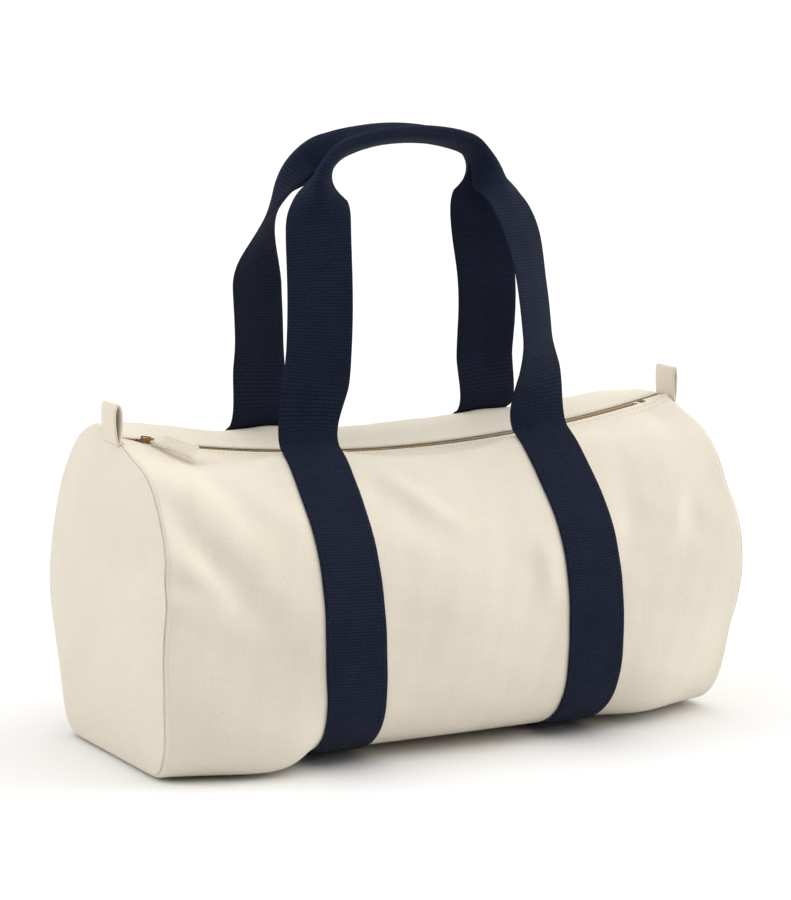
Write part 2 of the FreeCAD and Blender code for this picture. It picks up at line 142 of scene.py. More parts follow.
# Soft dents of the standing bag, front and rear: x, z, length and width in millimetres, turn in degrees and
# share of the dent depth
DENTS = {
    -1: (
        (-188, 220, 36, 14, -50, -0.55),
        (-210, 168, 60, 15, -53, -0.75),
        (-160, 200, 45, 16, -40, 0.25),
        (-236, 153, 20, 10, -25, -0.4),
        (205, 168, 15, 12, 60, -0.4),
        (196, 176, 24, 8, 59, 0.22),
        (234, 187, 28, 13, 14, -0.35),
        (149, 170, 30, 14, 72, -0.25),
        (243, 62, 30, 20, 80, -0.5),
        (0, 110, 50, 50, 0, 0.6),
        (20, 205, 240, 34, 0, -0.6),
        (-200, 30, 45, 25, 0, 0.6),
        (-200, 98, 60, 30, -15, -0.9),
        (-33, 200, 28, 8, -39, 0.32),
        (-42, 187, 34, 13, -39, -0.18),
        (63, 138, 22, 10, -86, 0.3),
    ),
    1: (
        (170, 150, 60, 24, 50, -0.7),
        (-20, 160, 70, 22, -40, -0.6),
        (-190, 120, 55, 24, 60, -0.7),
    ),
}
FACE_SPAN = (-20 * MM, 40 * MM)     # over which a dent of one face fades across the middle of the bag
UPPER = 150 * MM                    # above it the canvas is calmed at the zip, below it at the floor
MOUTH_CALM = (12 * MM, 30 * MM)
FLOOR_CALM = (2 * MM, 30 * MM)

# Ripples of the canvas: radians for a metre along x, y and z, and the start of the wave
SLOW_RIPPLES = ((47, 3, 21, 0.0), (29, 0, -52, 1.3), (-61, 18, 0, 2.1))
FINE_RIPPLES = ((150, 0, 60, 1.0), (-80, 0, 130, 0.0))
FINE_SHARE = 0.7
END_RIPPLES = (38, 44)              # of the end panels, along y and z

# Dents of the end panels: middle and length across, height and slope of the dent's line, width and share
END_DENTS = (
    (-40 * MM, 30 * MM, 190 * MM, 0.4, 22 * MM, 0.5),
    (-75 * MM, 40 * MM, 140 * MM, -0.3, 16 * MM, 0.5),
    (35 * MM, 45 * MM, 80 * MM, -0.5, 20 * MM, 0.4),
)

# Distances from the end seams and from the mouth at which the canvas has its rows of points
NEAR_SEAM = np.array([0.0, 0.6, 1.2, 1.8, 2.5, 3.3, 4.2, 5.5, 7.5, 10.0]) * MM
TO_END_MIDDLE = np.array([14, 19, 26, 34, 43, 53, 63, 73, 83, 92, 100, 106]) * MM
END_REACH = 108 * MM           # from an end seam to the middle of its panel, along the rows' scale
NEAR_MOUTH = np.array([0.0, 0.5, 1.2, 2.2, 3.0, 3.5, 4.0, 5.0, 6.5, 7.5, 8.2, 9.0, 10.0, 12.0, 15.0, 18.5,
                       22.5, 27.0, 32.0, 38.0, 45.0, 52.0]) * MM
HEM_ROW = 3.5 * MM             # from the mouth's edge to the row of stitches, which lies in a groove
HEM_STEP = 1.2 * MM            # over which the hem falls to the canvas
GROOVE_SHARE = 0.35            # of the hem's height
GROOVE_WIDTH = 0.6 * MM

# Tapes of the seam bindings and of the zip
BINDING_CLOTH = 1.0 * MM
BINDING_START = 16 * MM        # from the middle of the mouth
BINDING_RADIUS = 120 * MM      # that turns the angle round the bag into a length on the tape
TAPE_CLOTH = 0.8 * MM
TAPE_SHORT = 0.4 * MM          # from a tape's end to the end seam
TAPE_CLOSE = (0.0, 3 * MM)     # beyond the chain, where the tapes close
TAPE_HALF_GAP = 0.05 * MM
TAPE_GAP_SHARE = 0.8           # of the sewing gap, between hem and tape

# Straps and the path of the handles
FLOOR_GAP = 0.1 * MM
SPLICE = 26 * MM               # below the fold line, where strap and handle meet at a row of stitches
STRAP_SPREAD = 3.0 * MM
BAND_COLUMNS = 17
BAND_EDGE_POWER = 8            # the higher, the squarer the edges of the webbing
HANDLE_LEAN = math.radians(8)
HANDLE_BOW = 14 * MM
BOW_PEAK = 1.3                 # about the largest value of sin t (1 + cos t)
HANDLE_LEG = 178 * MM
HANDLE_TOP_X = 87 * MM
BEND_RADIUS = 46 * MM
GRIP_SLOPE = math.radians(17)
LEG_SLOPE = math.acos((STRAP_X - HANDLE_TOP_X) / HANDLE_LEG)
LEG_HEIGHT = HANDLE_LEG * math.sin(LEG_SLOPE)
BEND_X = BEND_RADIUS * math.sin(LEG_SLOPE) - HANDLE_TOP_X
BEND_HEIGHT = LEG_HEIGHT - BEND_RADIUS * math.cos(LEG_SLOPE)
BEND_END = HANDLE_LEG + BEND_RADIUS * (LEG_SLOPE - GRIP_SLOPE)
GRIP_RADIUS = BEND_RADIUS - BEND_X / math.sin(GRIP_SLOPE)
GRIP_CENTRE = BEND_HEIGHT + (BEND_RADIUS - GRIP_RADIUS) * math.cos(GRIP_SLOPE)
HALF_HANDLE = BEND_END + GRIP_RADIUS * GRIP_SLOPE

# How each leg of the handles hangs, by face and mirror, in degrees and millimetres: turn of the leg and of
# its neck, how far it spreads and where, how far it leans in at the bend, and where its fold starts and ends
LEGS = {
    (-1, 1): (34, -2, 0, 135, 3, 152, 212),
    (-1, -1): (32, -8, 1, 135, 15, 165, 215),
    (1, 1): (14, 36, 13, 140, 7, 155, 215),
    (1, -1): (8, 14, 11, 88, 0, 150, 222),
}
LIFT_OFF = (-18 * MM, 60 * MM)      # along the webbing, where it leaves the canvas, in close rows of points
CLOSE_ROWS = 30 * MM
LEG_TURN = (5 * MM, 62 * MM)
NECK_TURN = (105 * MM, 60 * MM)
GRIP_TURN = (200 * MM, 70 * MM)
GRIP_ANGLE = 18                     # turn of the grip in degrees
SPREAD_WIDTH = 58 * MM
BEND_LEAN = (198 * MM, 32 * MM)
LEG_FOLD, GRIP_FOLD = math.radians(5), math.radians(94)
FOLD_POWER = 1.3
FOLD_BEND = 0.22                    # share of the half width in which the webbing folds
FOLD_STEPS = 100

# Pull tab and end loops
TAB_CURL = 1.9 * MM                 # radius of the fold round the wire
TAB_HALF = 1.15 * MM                # half the thickness of the sewn tab
TAB_CLOSE = (0.0, 5 * MM)
TAB_ROLL = (25, 28)                 # degrees at the wire, and what is added behind it
TAB_ROLL_SPAN = (0.0, 9 * MM)
TAB_DROOP, TAB_DROOP_POWER = 7.0 * MM, 1.2
TAB_EDGE_POWER, TAB_EDGE_LEAST = 10, 0.15    # squareness and least share of its edges
TAB_STITCH = 0.75                   # share of a full stitch
TAB_STITCH_EDGE = 1.8 * MM          # from the edge to a row of stitches
TAB_STITCH_SPAN = (5 * MM, 1.5 * MM)    # from the wire to the first stitch, and room at the tip
TAB_STITCH_SINK = 0.98              # share of the half thickness at which the stitches lie
LOOP_CLOTH = 1.3 * MM
LOOP_POWER = 0.7
LOOP_PEAK = 0.562                   # largest value of cos t times sin t to the loop's power
LOOP_CLOSE = 0.35                   # share by which a loop is closer at its rear edge
LOOP_FOOT, LOOP_FOOT_LESS = 6 * MM, 1.5 * MM    # depth of the feet, and how much less behind
LOOPS = (                           # shift across, half the opening and extra height
    ("left", -5 * MM, 2.9 * MM, 3 * MM),
    ("right", -1 * MM, 1.6 * MM, 0 * MM),
)

# Rows of stitches
HEM_STITCH_END = 6 * MM             # from an end seam to the last stitch of a hem
HEM_STITCH_SHARE, HEM_STITCH_RISE = 0.65, 0.15 * MM     # height on the hem, and above that
STRAP_STITCH_EDGE = 3 * MM          # from the webbing's edge to a row of stitches
STRAP_STITCH_FIRST = 4 * MM         # from the fold line or the edge to the first stitch
STRAP_STITCH_SINK = 0.1 * MM
STRAP_STITCH_FLOOR = 12 * MM        # height below which there are none
SMALL_ANGLE = 0.01

# Stage: lights by direction, strength and angle in degrees, and the photograph's view in its own pixels
SOFTBOXES = (
    ("Overhead softbox", (0.10, -0.08, 1.0), 2.45, 90),
    ("Left softbox", (-0.85, 0.45, 0.50), 1.10, 40),
    ("Right softbox", (0.95, -0.35, 0.30), 1.30, 40),
)
ROOM_COLOUR, ROOM_STRENGTH = (1.0, 0.965, 0.935, 1.0), 0.15
FLOOR_HALF = 60.0
PHOTO_WIDTH, PHOTO_HEIGHT = 791, 900
PHOTO_AXIS_X, PHOTO_AXIS_Y = 400, 464          # the pixel that the camera points at
FOCAL_PIXELS = 3230
SENSOR = 36.0
AZIMUTH, ELEVATION = math.radians(-28.43), math.radians(9.19)     # found from the bag's own lines
CAMERA_DISTANCE = 2.535
CAMERA_TARGET = Vector((0.0, 0.0, 0.2083))


def linear(hex_colour):
    """Linear red, green and blue of an sRGB hex colour."""
    parts = [int(hex_colour[i:i + 2], 16) / 255 for i in (0, 2, 4)]
    return [p / 12.92 if p <= 0.04045 else ((p + 0.055) / 1.055) ** 2.4 for p in parts]


def length_property(name, description, millimetres):
    """A length that the user can set, given in millimetres."""
    return FloatProperty(
        name=name, description=description, default=millimetres * MM, min=0.0, unit="LENGTH", precision=4)


def colour_property(name, description, hex_colour):
    """A colour that the user can set, given as sRGB hex."""
    return FloatVectorProperty(
        name=name, description=description, default=linear(hex_colour), min=0.0, max=1.0, size=3,
        subtype="COLOR")


class BagSizes(bpy.types.PropertyGroup):
    """Sizes of the cloth, its sewing and its patterns."""
    canvas_thickness: length_property("Canvas", "Thickness of the canvas", 1.2)
    hem_height: length_property("Hem height", "How far the folded hem beside the zip stands up", 0.6)
    hem_width: length_property("Hem width", "Width of the folded hem beside the zip", 8.0)
    seam_depth: length_property("Seam depth", "How far the canvas turns in at the end seams", 2.2)
    seam_width: length_property("Seam width", "How wide the canvas rolls in at the end seams", 1.3)
    seam_bow: length_property("Seam bow", "How far the end seams bow out at half height", 6.0)
    dent_depth: length_property("Dents", "Depth that the soft dents take shares of", 10.0)
    front_slack: length_property("Front slack", "How far the canvas sinks in front of the zip", 4.8)
    rear_ridge: length_property("Rear ridge", "How far the canvas rises behind the zip", 10.0)
    ripple_height: length_property("Ripples", "Height of the soft ripples of the canvas", 0.9)
    webbing_thickness: length_property("Webbing", "Thickness of the webbing", 1.8)
    sewing_gap: length_property("Sewing gap", "Space between sewn layers", 0.3)
    stitch_length: length_property("Stitch", "Length of one stitch", 3.0)
    stitch_pitch: length_property("Stitch pitch", "From one stitch to the next", 4.0)
    thread: length_property("Thread", "Thickness of the sewing thread", 0.7)
    weave_pitch: length_property("Canvas weave", "Spacing of the drawn canvas threads", 1.3)
    rib_pitch: length_property("Webbing ribs", "Spacing of the drawn ribs across the webbing", 2.4)
    tape_pitch: length_property("Tape weave", "Spacing of the tape's threads", 0.8)
    ply_pitch: length_property("Thread plies", "Spacing of the plies of the sewing thread", 0.5)
    rub_size: length_property("Rubbed spots", "Size of the rubbed spots on the brass", 2.5)
    grain_size: length_property("Paper grain", "Size of the grain of the studio paper", 4.0)


class BagColours(bpy.types.PropertyGroup):
    """Colours of the bag and of its stage."""
    canvas: colour_property("Canvas", "Unbleached cotton canvas", "EBE3D3")
    canvas_shade: colour_property("Canvas shade", "Between the threads of the canvas", "DDD1BD")
    fleck: colour_property("Fleck", "Seed flecks in the canvas", "B39F80")
    webbing: colour_property("Webbing", "Raised threads of the navy webbing", "333E5E")
    webbing_shade: colour_property("Webbing shade", "Between the threads of the webbing", "060910")
    navy_thread: colour_property("Navy thread", "Sewing thread of the webbing", "1C2338")
    # The tape is paler than the canvas. This is partly its own colour and partly painted light against the
    # shade between the hems.
    tape: colour_property("Tape", "Woven cotton tape of the zip and the seam bindings", "FBF3E4")
    brass: colour_property("Brass", "Worn antique brass", "B08D5A")
    brass_dark: colour_property("Dark brass", "Antique brass in the recesses", "5A452C")
    # The teeth's two colours are a lighter copy of the brass, mixed by random noise. This is painted light
    # that makes up for the shade between the hems and the dark room that the metal reflects.
    teeth: colour_property("Teeth", "Brass of the zip's teeth, rubbed bright by the slider", "F0D9AE")
    teeth_dark: colour_property("Dark teeth", "Brass between the zip's teeth", "B8935C")
    floor: colour_property("Floor", "Pale studio floor", "F7F7F7")


def rise(value, start, run):
    """Eased rise from 0 at the start to 1 after the run: 3 t squared less 2 t cubed, constant outside."""
    t = np.clip((value - start) / run, 0.0, 1.0)
    return t * t * (3 - 2 * t)


def bell(value, middle, width):
    """Bell curve: 1 in the middle, falling as e to the minus square of the distance over the width."""
    return np.exp(-((value - middle) / width) ** 2)


def unit(vectors):
    """Vectors scaled to length one."""
    return vectors / np.linalg.norm(vectors, axis=-1, keepdims=True)


def grid(*parts):
    """Points or cloth places on a grid: the parts spread over one another, side by side in the last axis."""
    return np.stack(np.broadcast_arrays(*parts), axis=-1)


def near_end(x):
    """How near x is to an end seam: 0 between the straps, 1 at the seam."""
    return rise(np.abs(x), END_START, HALF_LENGTH - END_START)


def barrel(x):
    """Half width, belly height, crown height, lower power and upper power at x.

    The sizes follow a quartic swell between the end seams; the outline is boxier between a strap and an end.
    """
    swell = 1 - (x / HALF_LENGTH) ** 4
    half_width = END_HALF_WIDTH + (MID_HALF_WIDTH - END_HALF_WIDTH) * swell
    belly = END_BELLY + (MID_BELLY - END_BELLY) * swell
    crown = END_CROWN + (MID_CROWN - END_CROWN) * swell
    end_power = np.where(x < 0, LEFT_BOTTOM_POWER, RIGHT_BOTTOM_POWER)
    power = MID_BOTTOM_POWER + (end_power - MID_BOTTOM_POWER) * rise(np.abs(x) - STRAP_X, *BOXY)
    top_power = TOP_POWER + np.where(x < 0, LEFT_TOP_EXTRA, RIGHT_TOP_EXTRA) * near_end(x)
    return half_width, belly, crown, power, top_power


def outline(x, angle):
    """The canvas outline (y, z) at x.

    Both halves are superellipses in polar form about the belly. Near the ends the sides bulge at half
    height, in a bell curve, and draw in towards the floor. The mouth's valley, a bell curve beside a level
    strip, is taken out, and the bell-shaped lifts under the handles are added.
    """
    half_width, belly, crown, power, top_power = barrel(x)
    cosine, sine = np.cos(angle), np.sin(angle)
    above = sine >= 0
    height = np.where(above, crown - belly, belly - CANVAS_BOTTOM)
    power = np.where(above, top_power, power)
    radius = (np.abs(cosine / half_width) ** power + np.abs(sine / height) ** power) ** (-1 / power)
    y, z = radius * cosine, belly + radius * sine
    depth = np.clip((belly - z) / (belly - CANVAS_BOTTOM), 0.0, 1.0)
    bulge = np.where(x < 0, LEFT_BULGE, RIGHT_BULGE) * bell(z, *BULGE)
    taper = np.where(y > 0, REAR_TAPER, FRONT_TAPER) * depth ** TAPER_POWER
    y = y * (1 + near_end(x) * (bulge - taper))
    beyond = np.maximum(0.0, np.abs(y) - MOUTH_HALF_FLAT)
    mouth = ZIP_CENTRE - np.sqrt(MOUTH_RADIUS ** 2 - x ** 2)
    valley = (crown - mouth) * bell(beyond, 0.0, MOUTH_SLOPE)
    lift = LIFT_HEIGHT * bell(np.abs(x), STRAP_X, LIFT_LENGTH) * bell(np.abs(y), FOLD_Y, LIFT_DEPTH)
    return y, z + np.where(above, lift - valley, 0.0)


def angle_at(x, y):
    """Angle of the upper outline where it passes y: that of the superellipse's own point."""
    half_width, belly, crown, _, power = barrel(x)
    return np.arctan2((crown - belly) * (1 - np.abs(y / half_width) ** power) ** (1 / power), y)


def rear_angle(angle):
    """Angle of the place behind a place of the front: its mirror image about the lowest place."""
    return 2 * BOTTOM - angle


def shoulders(sizes, x, y):
    """Form of the canvas on both sides of the zip, in bell curves and eased rises across it.

    A ridge behind the zip joins the lifts under the rear handle and goes on to the ends; the canvas sinks in
    front of the zip, most of all at the ends.
    """
    away = np.abs(x) - STRAP_X
    ridge = sizes.rear_ridge * (0.5 + 0.5 * rise(away, *RIDGE_GROWTH)) * (1 - bell(away, 0.0, LIFT_LENGTH))
    ridge = ridge * (1 - RIDGE_LOSS * rise(np.abs(x), *RIDGE_FADE)) * bell(y, *RIDGE_ACROSS)
    corner = bell(x, -HALF_LENGTH, CORNER_LENGTH) * bell(y, *CORNER_ACROSS)
    corner = CORNER_SHARE * sizes.rear_ridge * corner
    front = sum(share * rise(-y, *span) for share, span in SLACK_STEPS)
    front = front * (1 - rise(-y, *SLACK_FADE)) * (1 - rise(np.abs(x), *SLACK_END))
    ends = sum(share * bell(x, *along) * bell(y, *across) for share, along, across in END_SLACK)
    calm = rise(np.abs(y), *ZIP_CALM)
    return calm * (ridge + corner) - sizes.front_slack * (front + calm * ends)


def ripple(x, y, z, rates):
    """A sine wave through the canvas: radians for a metre along each axis, and the start of the wave."""
    along_x, along_y, along_z, start = rates
    return np.sin(along_x * x + along_y * y + along_z * z + start)


def softness(sizes, x, y, z):
    """How far the canvas stands out of or in from the even barrel.

    Turned bell-shaped dents plus three slow waves and the product of two finer ones, calmed at the zip and
    under the bag, plus the shoulders.
    """
    out = np.zeros(np.broadcast(x, y).shape)
    for face, dents in DENTS.items():
        on_face = sizes.dent_depth * rise(face * y, *FACE_SPAN)
        for middle_x, middle_z, long, wide, turn, share in dents:
            cosine, sine = math.cos(math.radians(turn)), math.sin(math.radians(turn))
            dx, dz = x - middle_x * MM, z - middle_z * MM
            along, across = cosine * dx + sine * dz, cosine * dz - sine * dx
            out = out + share * on_face * bell(along, 0.0, long * MM) * bell(across, 0.0, wide * MM)
    slow = sum(ripple(x, y, z, rates) for rates in SLOW_RIPPLES)
    fine = math.prod(ripple(x, y, z, rates) for rates in FINE_RIPPLES)
    out = out + sizes.ripple_height / 2 * (slow + FINE_SHARE * fine)
    upper = z > UPPER
    calm = np.where(upper, rise(np.abs(y), *MOUTH_CALM), rise(z, *FLOOR_CALM))
    return calm * out + np.where(upper, shoulders(sizes, x, y), 0.0)


def canvas_points(sizes, x, angle, offset=0.0):
    """Points of the canvas at x and angle, moved out along the outline's normal by offset and softness.

    Near the ends x is moved so that the seams bow out at half height.
    """
    step = 1e-3
    y, z = outline(x, angle)
    y0, z0 = outline(x, angle - step)
    y1, z1 = outline(x, angle + step)
    out = (offset + softness(sizes, x, y, z)) / np.hypot(y1 - y0, z1 - z0)
    bow = sizes.seam_bow * (bell(z, *SEAM_BOW) - SEAM_BOW_LESS)
    moved_x = x + np.sign(x) * bow * np.abs(x / HALF_LENGTH) ** SEAM_BOW_POWER
    return grid(moved_x, y + out * (z1 - z0), z - out * (y1 - y0))


def seam_roll(sizes, distance):
    """How far the canvas is turned in by an end seam: a bell curve of the distance from it."""
    return sizes.seam_depth * bell(distance, 0.0, sizes.seam_width)


def lengths_along(points):
    """Length from the first of a line of points to each of them."""
    return np.concatenate([[0.0], np.cumsum(np.linalg.norm(np.diff(points, axis=0), axis=1))])


def add_piece(name, points, material, uv=None, wrap=False, caps=False, thickness=0.0, offset=-1.0):
    """Object over a grid of points: quads between neighbours, joined round if wrapped, and end caps."""
    rows, columns = points.shape[:2]
    row = np.arange(rows - 1)[:, None] * columns
    column = np.arange(columns if wrap else columns - 1)[None, :]
    right = (column + 1) % columns
    faces = np.stack([row + column, row + right, row + columns + right, row + columns + column], axis=-1)
    faces = faces.reshape(-1, 4).tolist()
    if caps:
        faces += [list(range(columns)), list(range((rows - 1) * columns, rows * columns))]
    return mesh_object(name, points.reshape(-1, 3), faces, material, uv, thickness, offset)


STITCH_RINGS, STITCH_CORNERS = 5, 6    # a stitch's tips stay smooth, caps with more corners are sharp


def mesh_object(name, points, faces, material, uv=None, thickness=0.0, offset=-1.0):
    """Smooth mesh object with outward faces and sharp caps.

    The cloth UV map, in metres, and the wall thickness are optional.
    """
    mesh = bpy.data.meshes.new(name)
    mesh.from_pydata(points.tolist(), [], faces)
    if uv is not None:
        corners = np.empty(len(mesh.loops), dtype=np.int32)
        mesh.loops.foreach_get("vertex_index", corners)
        mesh.uv_layers.new(name="Cloth").data.foreach_set("uv", uv.reshape(-1, 2)[corners].ravel())
    work = bmesh.new()
    work.from_mesh(mesh)
    bmesh.ops.recalc_face_normals(work, faces=work.faces)
    caps = [face for face in work.faces if len(face.verts) > STITCH_CORNERS]
    for edge in {edge for face in caps for edge in face.edges}:
        edge.smooth = False
    work.to_mesh(mesh)
    work.free()
    mesh.polygons.foreach_set("use_smooth", np.ones(len(mesh.polygons), dtype=bool))
    mesh.materials.append(material)
    piece = bpy.data.objects.new(name, mesh)
    bpy.context.scene.collection.objects.link(piece)
    if thickness:
        wall = piece.modifiers.new("Wall", "SOLIDIFY")
        wall.thickness = thickness
        wall.offset = offset
    return piece


def close_pole(piece, ring):
    """Closes the small hole in the middle of an end panel with one face over its last ring of points."""
    work = bmesh.new()
    work.from_mesh(piece.data)
    work.verts.ensure_lookup_table()
    work.faces.new(work.verts[-len(ring):]).smooth = True
    bmesh.ops.recalc_face_normals(work, faces=work.faces)
    work.to_mesh(piece.data)
    work.free()


def settle(piece, body, slot, *nodes):
    """The piece rides on a body and stands for the nodes, which are hidden; the slot is not used."""
    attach(piece, body)
    if nodes:
        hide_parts(*nodes)


def band_section():
    """Outline of webbing as (across, over) from -1 to 1: two rows that meet at round edges.

    The height is the square root of 1 less a high power of the place across.
    """
    across = np.sin(np.linspace(-math.pi / 2, math.pi / 2, BAND_COLUMNS))
    over = np.sqrt(1 - across ** BAND_EDGE_POWER)
    return np.concatenate([across, across[-2:0:-1]]), np.concatenate([over, -over[-2:0:-1]])


def strap_middle(z):
    """Middle of a strap along the bag: a half sine of spread between the fold line and the floor."""
    return STRAP_X + STRAP_SPREAD * np.sin(math.pi * np.clip((FOLD_Z - z) / FOLD_Z, 0.0, 1.0))


def strap_angles(sizes, run):
    """Angles of the front outline at distances run below the fold line, and the length to the lowest place.

    They are read off the length along the outline.
    """
    angles = np.linspace(angle_at(STRAP_X, -FOLD_Y), BOTTOM, 400)
    lengths = lengths_along(canvas_points(sizes, np.full_like(angles, STRAP_X), angles))
    return np.interp(run, lengths, angles), lengths[-1]


def webbing_on_canvas(sizes, side, angle, across, over):
    """Webbing that lies on the canvas: each point keeps its height over the canvas at its own place."""
    _, z = outline(np.full_like(angle, STRAP_X), angle)
    x = side * strap_middle(z)[:, None] + across * WEBBING_WIDTH / 2
    height = sizes.sewing_gap + sizes.webbing_thickness / 2 * (1 + over)
    return canvas_points(sizes, x, angle[:, None], height)


def handle_line(along):
    """Half of a handle's middle line as x, height and slope: straight leg, round bend, shallow grip arc."""
    share = along / HANDLE_LEG
    bend_slope = LEG_SLOPE - (along - HANDLE_LEG) / BEND_RADIUS
    grip_slope = GRIP_SLOPE - (along - BEND_END) / GRIP_RADIUS
    leg_x = -STRAP_X + (STRAP_X - HANDLE_TOP_X) * share
    zones = [along <= HANDLE_LEG, along <= BEND_END]
    x = np.select(zones, [leg_x, BEND_X - BEND_RADIUS * np.sin(bend_slope)],
                  -GRIP_RADIUS * np.sin(grip_slope))
    height = np.select(zones, [LEG_HEIGHT * share, BEND_HEIGHT + BEND_RADIUS * np.cos(bend_slope)],
                       GRIP_CENTRE + GRIP_RADIUS * np.cos(grip_slope))
    slope = np.select(zones, [np.full_like(along, LEG_SLOPE), bend_slope], grip_slope)
    return x, height, slope


def folded_section(fold, across, over, thickness):
    """Section of webbing folded lengthwise: its middle line turns by the fold angle within a narrow bend.

    The turn at each place is the fold angle times a tanh of the place; summed along the width it gives the
    line.
    """
    fine = np.linspace(-1.0, 1.0, 2 * FOLD_STEPS + 1)
    turn = -fold[:, None] * np.tanh(fine / FOLD_BEND)[None, :]
    step = WEBBING_WIDTH / 2 * (fine[1] - fine[0])
    side = np.cumsum(np.cos(turn), axis=1) * step
    out = np.cumsum(np.sin(turn), axis=1) * step
    side = side - side[:, FOLD_STEPS:FOLD_STEPS + 1]
    out = out - (out.max(axis=1, keepdims=True) + out.min(axis=1, keepdims=True)) / 2
    index = np.clip(np.rint((across + 1) * FOLD_STEPS).astype(int), 0, 2 * FOLD_STEPS)
    lift = over[None, :] * thickness / 2
    return side[:, index] - np.sin(turn[:, index]) * lift, out[:, index] + np.cos(turn[:, index]) * lift


def free_webbing(sizes, face, mirror, along):
    """Half of a handle that stands free: its folded section carried along the bowed and leaning middle line.

    The bow is sin t (1 + cos t) of the share of the way; the section turns about the line by eased rises.
    """
    across, over = band_section()
    x, height, slope = handle_line(along)
    leg, neck, spread, spread_at, inward, fold_start, fold_end = LEGS[face, mirror]
    twist = np.radians(leg * rise(along, *LEG_TURN) + neck * rise(along, *NECK_TURN)
                       - (leg + neck - GRIP_ANGLE) * rise(along, *GRIP_TURN))
    share = math.pi * np.maximum(along, 0.0) / HALF_HANDLE
    bow = HANDLE_BOW * np.sin(share) * (1 + np.cos(share)) / BOW_PEAK
    bow_slope = HANDLE_BOW * math.pi / HALF_HANDLE * (np.cos(share) + np.cos(2 * share)) / BOW_PEAK
    x = x - spread * MM * bell(along, spread_at * MM, SPREAD_WIDTH) + inward * MM * bell(along, *BEND_LEAN)
    sideways = np.array([mirror, 0.0, 0.0])
    upward = np.array([0.0, -face * math.sin(HANDLE_LEAN), math.cos(HANDLE_LEAN)])
    outward = np.array([0.0, face * math.cos(HANDLE_LEAN), math.sin(HANDLE_LEAN)])
    ahead = unit(np.outer(np.cos(slope), sideways) + np.outer(np.sin(slope), upward)
                 + np.outer(bow_slope, outward))
    radial = np.outer(-np.sin(slope), sideways) + np.outer(np.cos(slope), upward)
    normal = np.outer(np.cos(twist), outward) + np.sin(twist)[:, None] * radial
    normal = unit(normal - ahead * np.sum(normal * ahead, axis=1, keepdims=True))
    side = np.cross(ahead, normal) * mirror * -face
    fold = LEG_FOLD + GRIP_FOLD * rise(along, fold_start * MM, (fold_end - fold_start) * MM) ** FOLD_POWER
    section_side, section_out = folded_section(fold, across, over, sizes.webbing_thickness)
    middle = (np.array([0.0, face * FOLD_Y, FOLD_Z]) + np.outer(x, sideways) + np.outer(height, upward)
              + np.outer(bow, outward))
    return (middle[:, None] + side[:, None] * section_side[..., None]
            + normal[:, None] * section_out[..., None])


def handle_half(sizes, face, mirror, along):
    """Half of a handle: webbing that lies on the canvas, goes straight on and eases into the free part."""
    across, over = band_section()
    angle, _ = strap_angles(sizes, np.maximum(-along, 0.0))
    if face > 0:
        angle = rear_angle(angle)
    lying = webbing_on_canvas(sizes, -mirror, angle, across * mirror, over)
    base = np.searchsorted(along, 0.0)
    tangent = unit(lying[base - 1] - lying[base - 3])
    lying = lying + np.maximum(along, 0.0)[:, None, None] * tangent[None]
    share = rise(along, *LIFT_OFF)[:, None, None]
    return lying * (1 - share) + free_webbing(sizes, face, mirror, along) * share


WAVE = FULL_TURN / 20          # a band pattern's scale times its spacing
MIX_A, MIX_B, MIX_RESULT = 6, 7, 2     # colour sockets of a Mix node


def set_inputs(tree, node, inputs):
    """Links a socket to each input, or sets its value, by the input's name or number."""
    for key, value in inputs.items():
        if isinstance(value, bpy.types.NodeSocket):
            tree.links.new(value, node.inputs[key])
        else:
            node.inputs[key].default_value = value


def add_node(tree, kind, inputs, output=0, **settings):
    """Adds a node with its settings and inputs and gives back one of its outputs."""
    node = tree.nodes.new("ShaderNode" + kind)
    for name, value in settings.items():
        setattr(node, name, value)
    set_inputs(tree, node, inputs)
    return node.outputs[output]


def new_material(name, coordinates):
    """Material with its node tree, its main shader and the coordinates that its patterns follow."""
    material = bpy.data.materials.new(name)
    material.use_nodes = True
    tree = material.node_tree
    return material, tree, tree.nodes["Principled BSDF"], add_node(tree, "TexCoord", {}, coordinates)


def plain_weave(tree, uv, pitch):
    """Height of a plain weave: the product of two band patterns, so that threads pass over and under."""
    threads = []
    for direction in "XY":
        bands = add_node(tree, "TexWave", {"Vector": uv, "Scale": WAVE / pitch / 2}, "Fac",
                         bands_direction=direction)
        threads.append(add_node(tree, "Math", {0: bands, 1: 2.0, 2: -1.0}, operation="MULTIPLY_ADD"))
    both = add_node(tree, "Math", {0: threads[0], 1: threads[1]}, operation="MULTIPLY")
    return add_node(tree, "Math", {0: both, 1: 0.5, 2: 0.5}, operation="MULTIPLY_ADD")


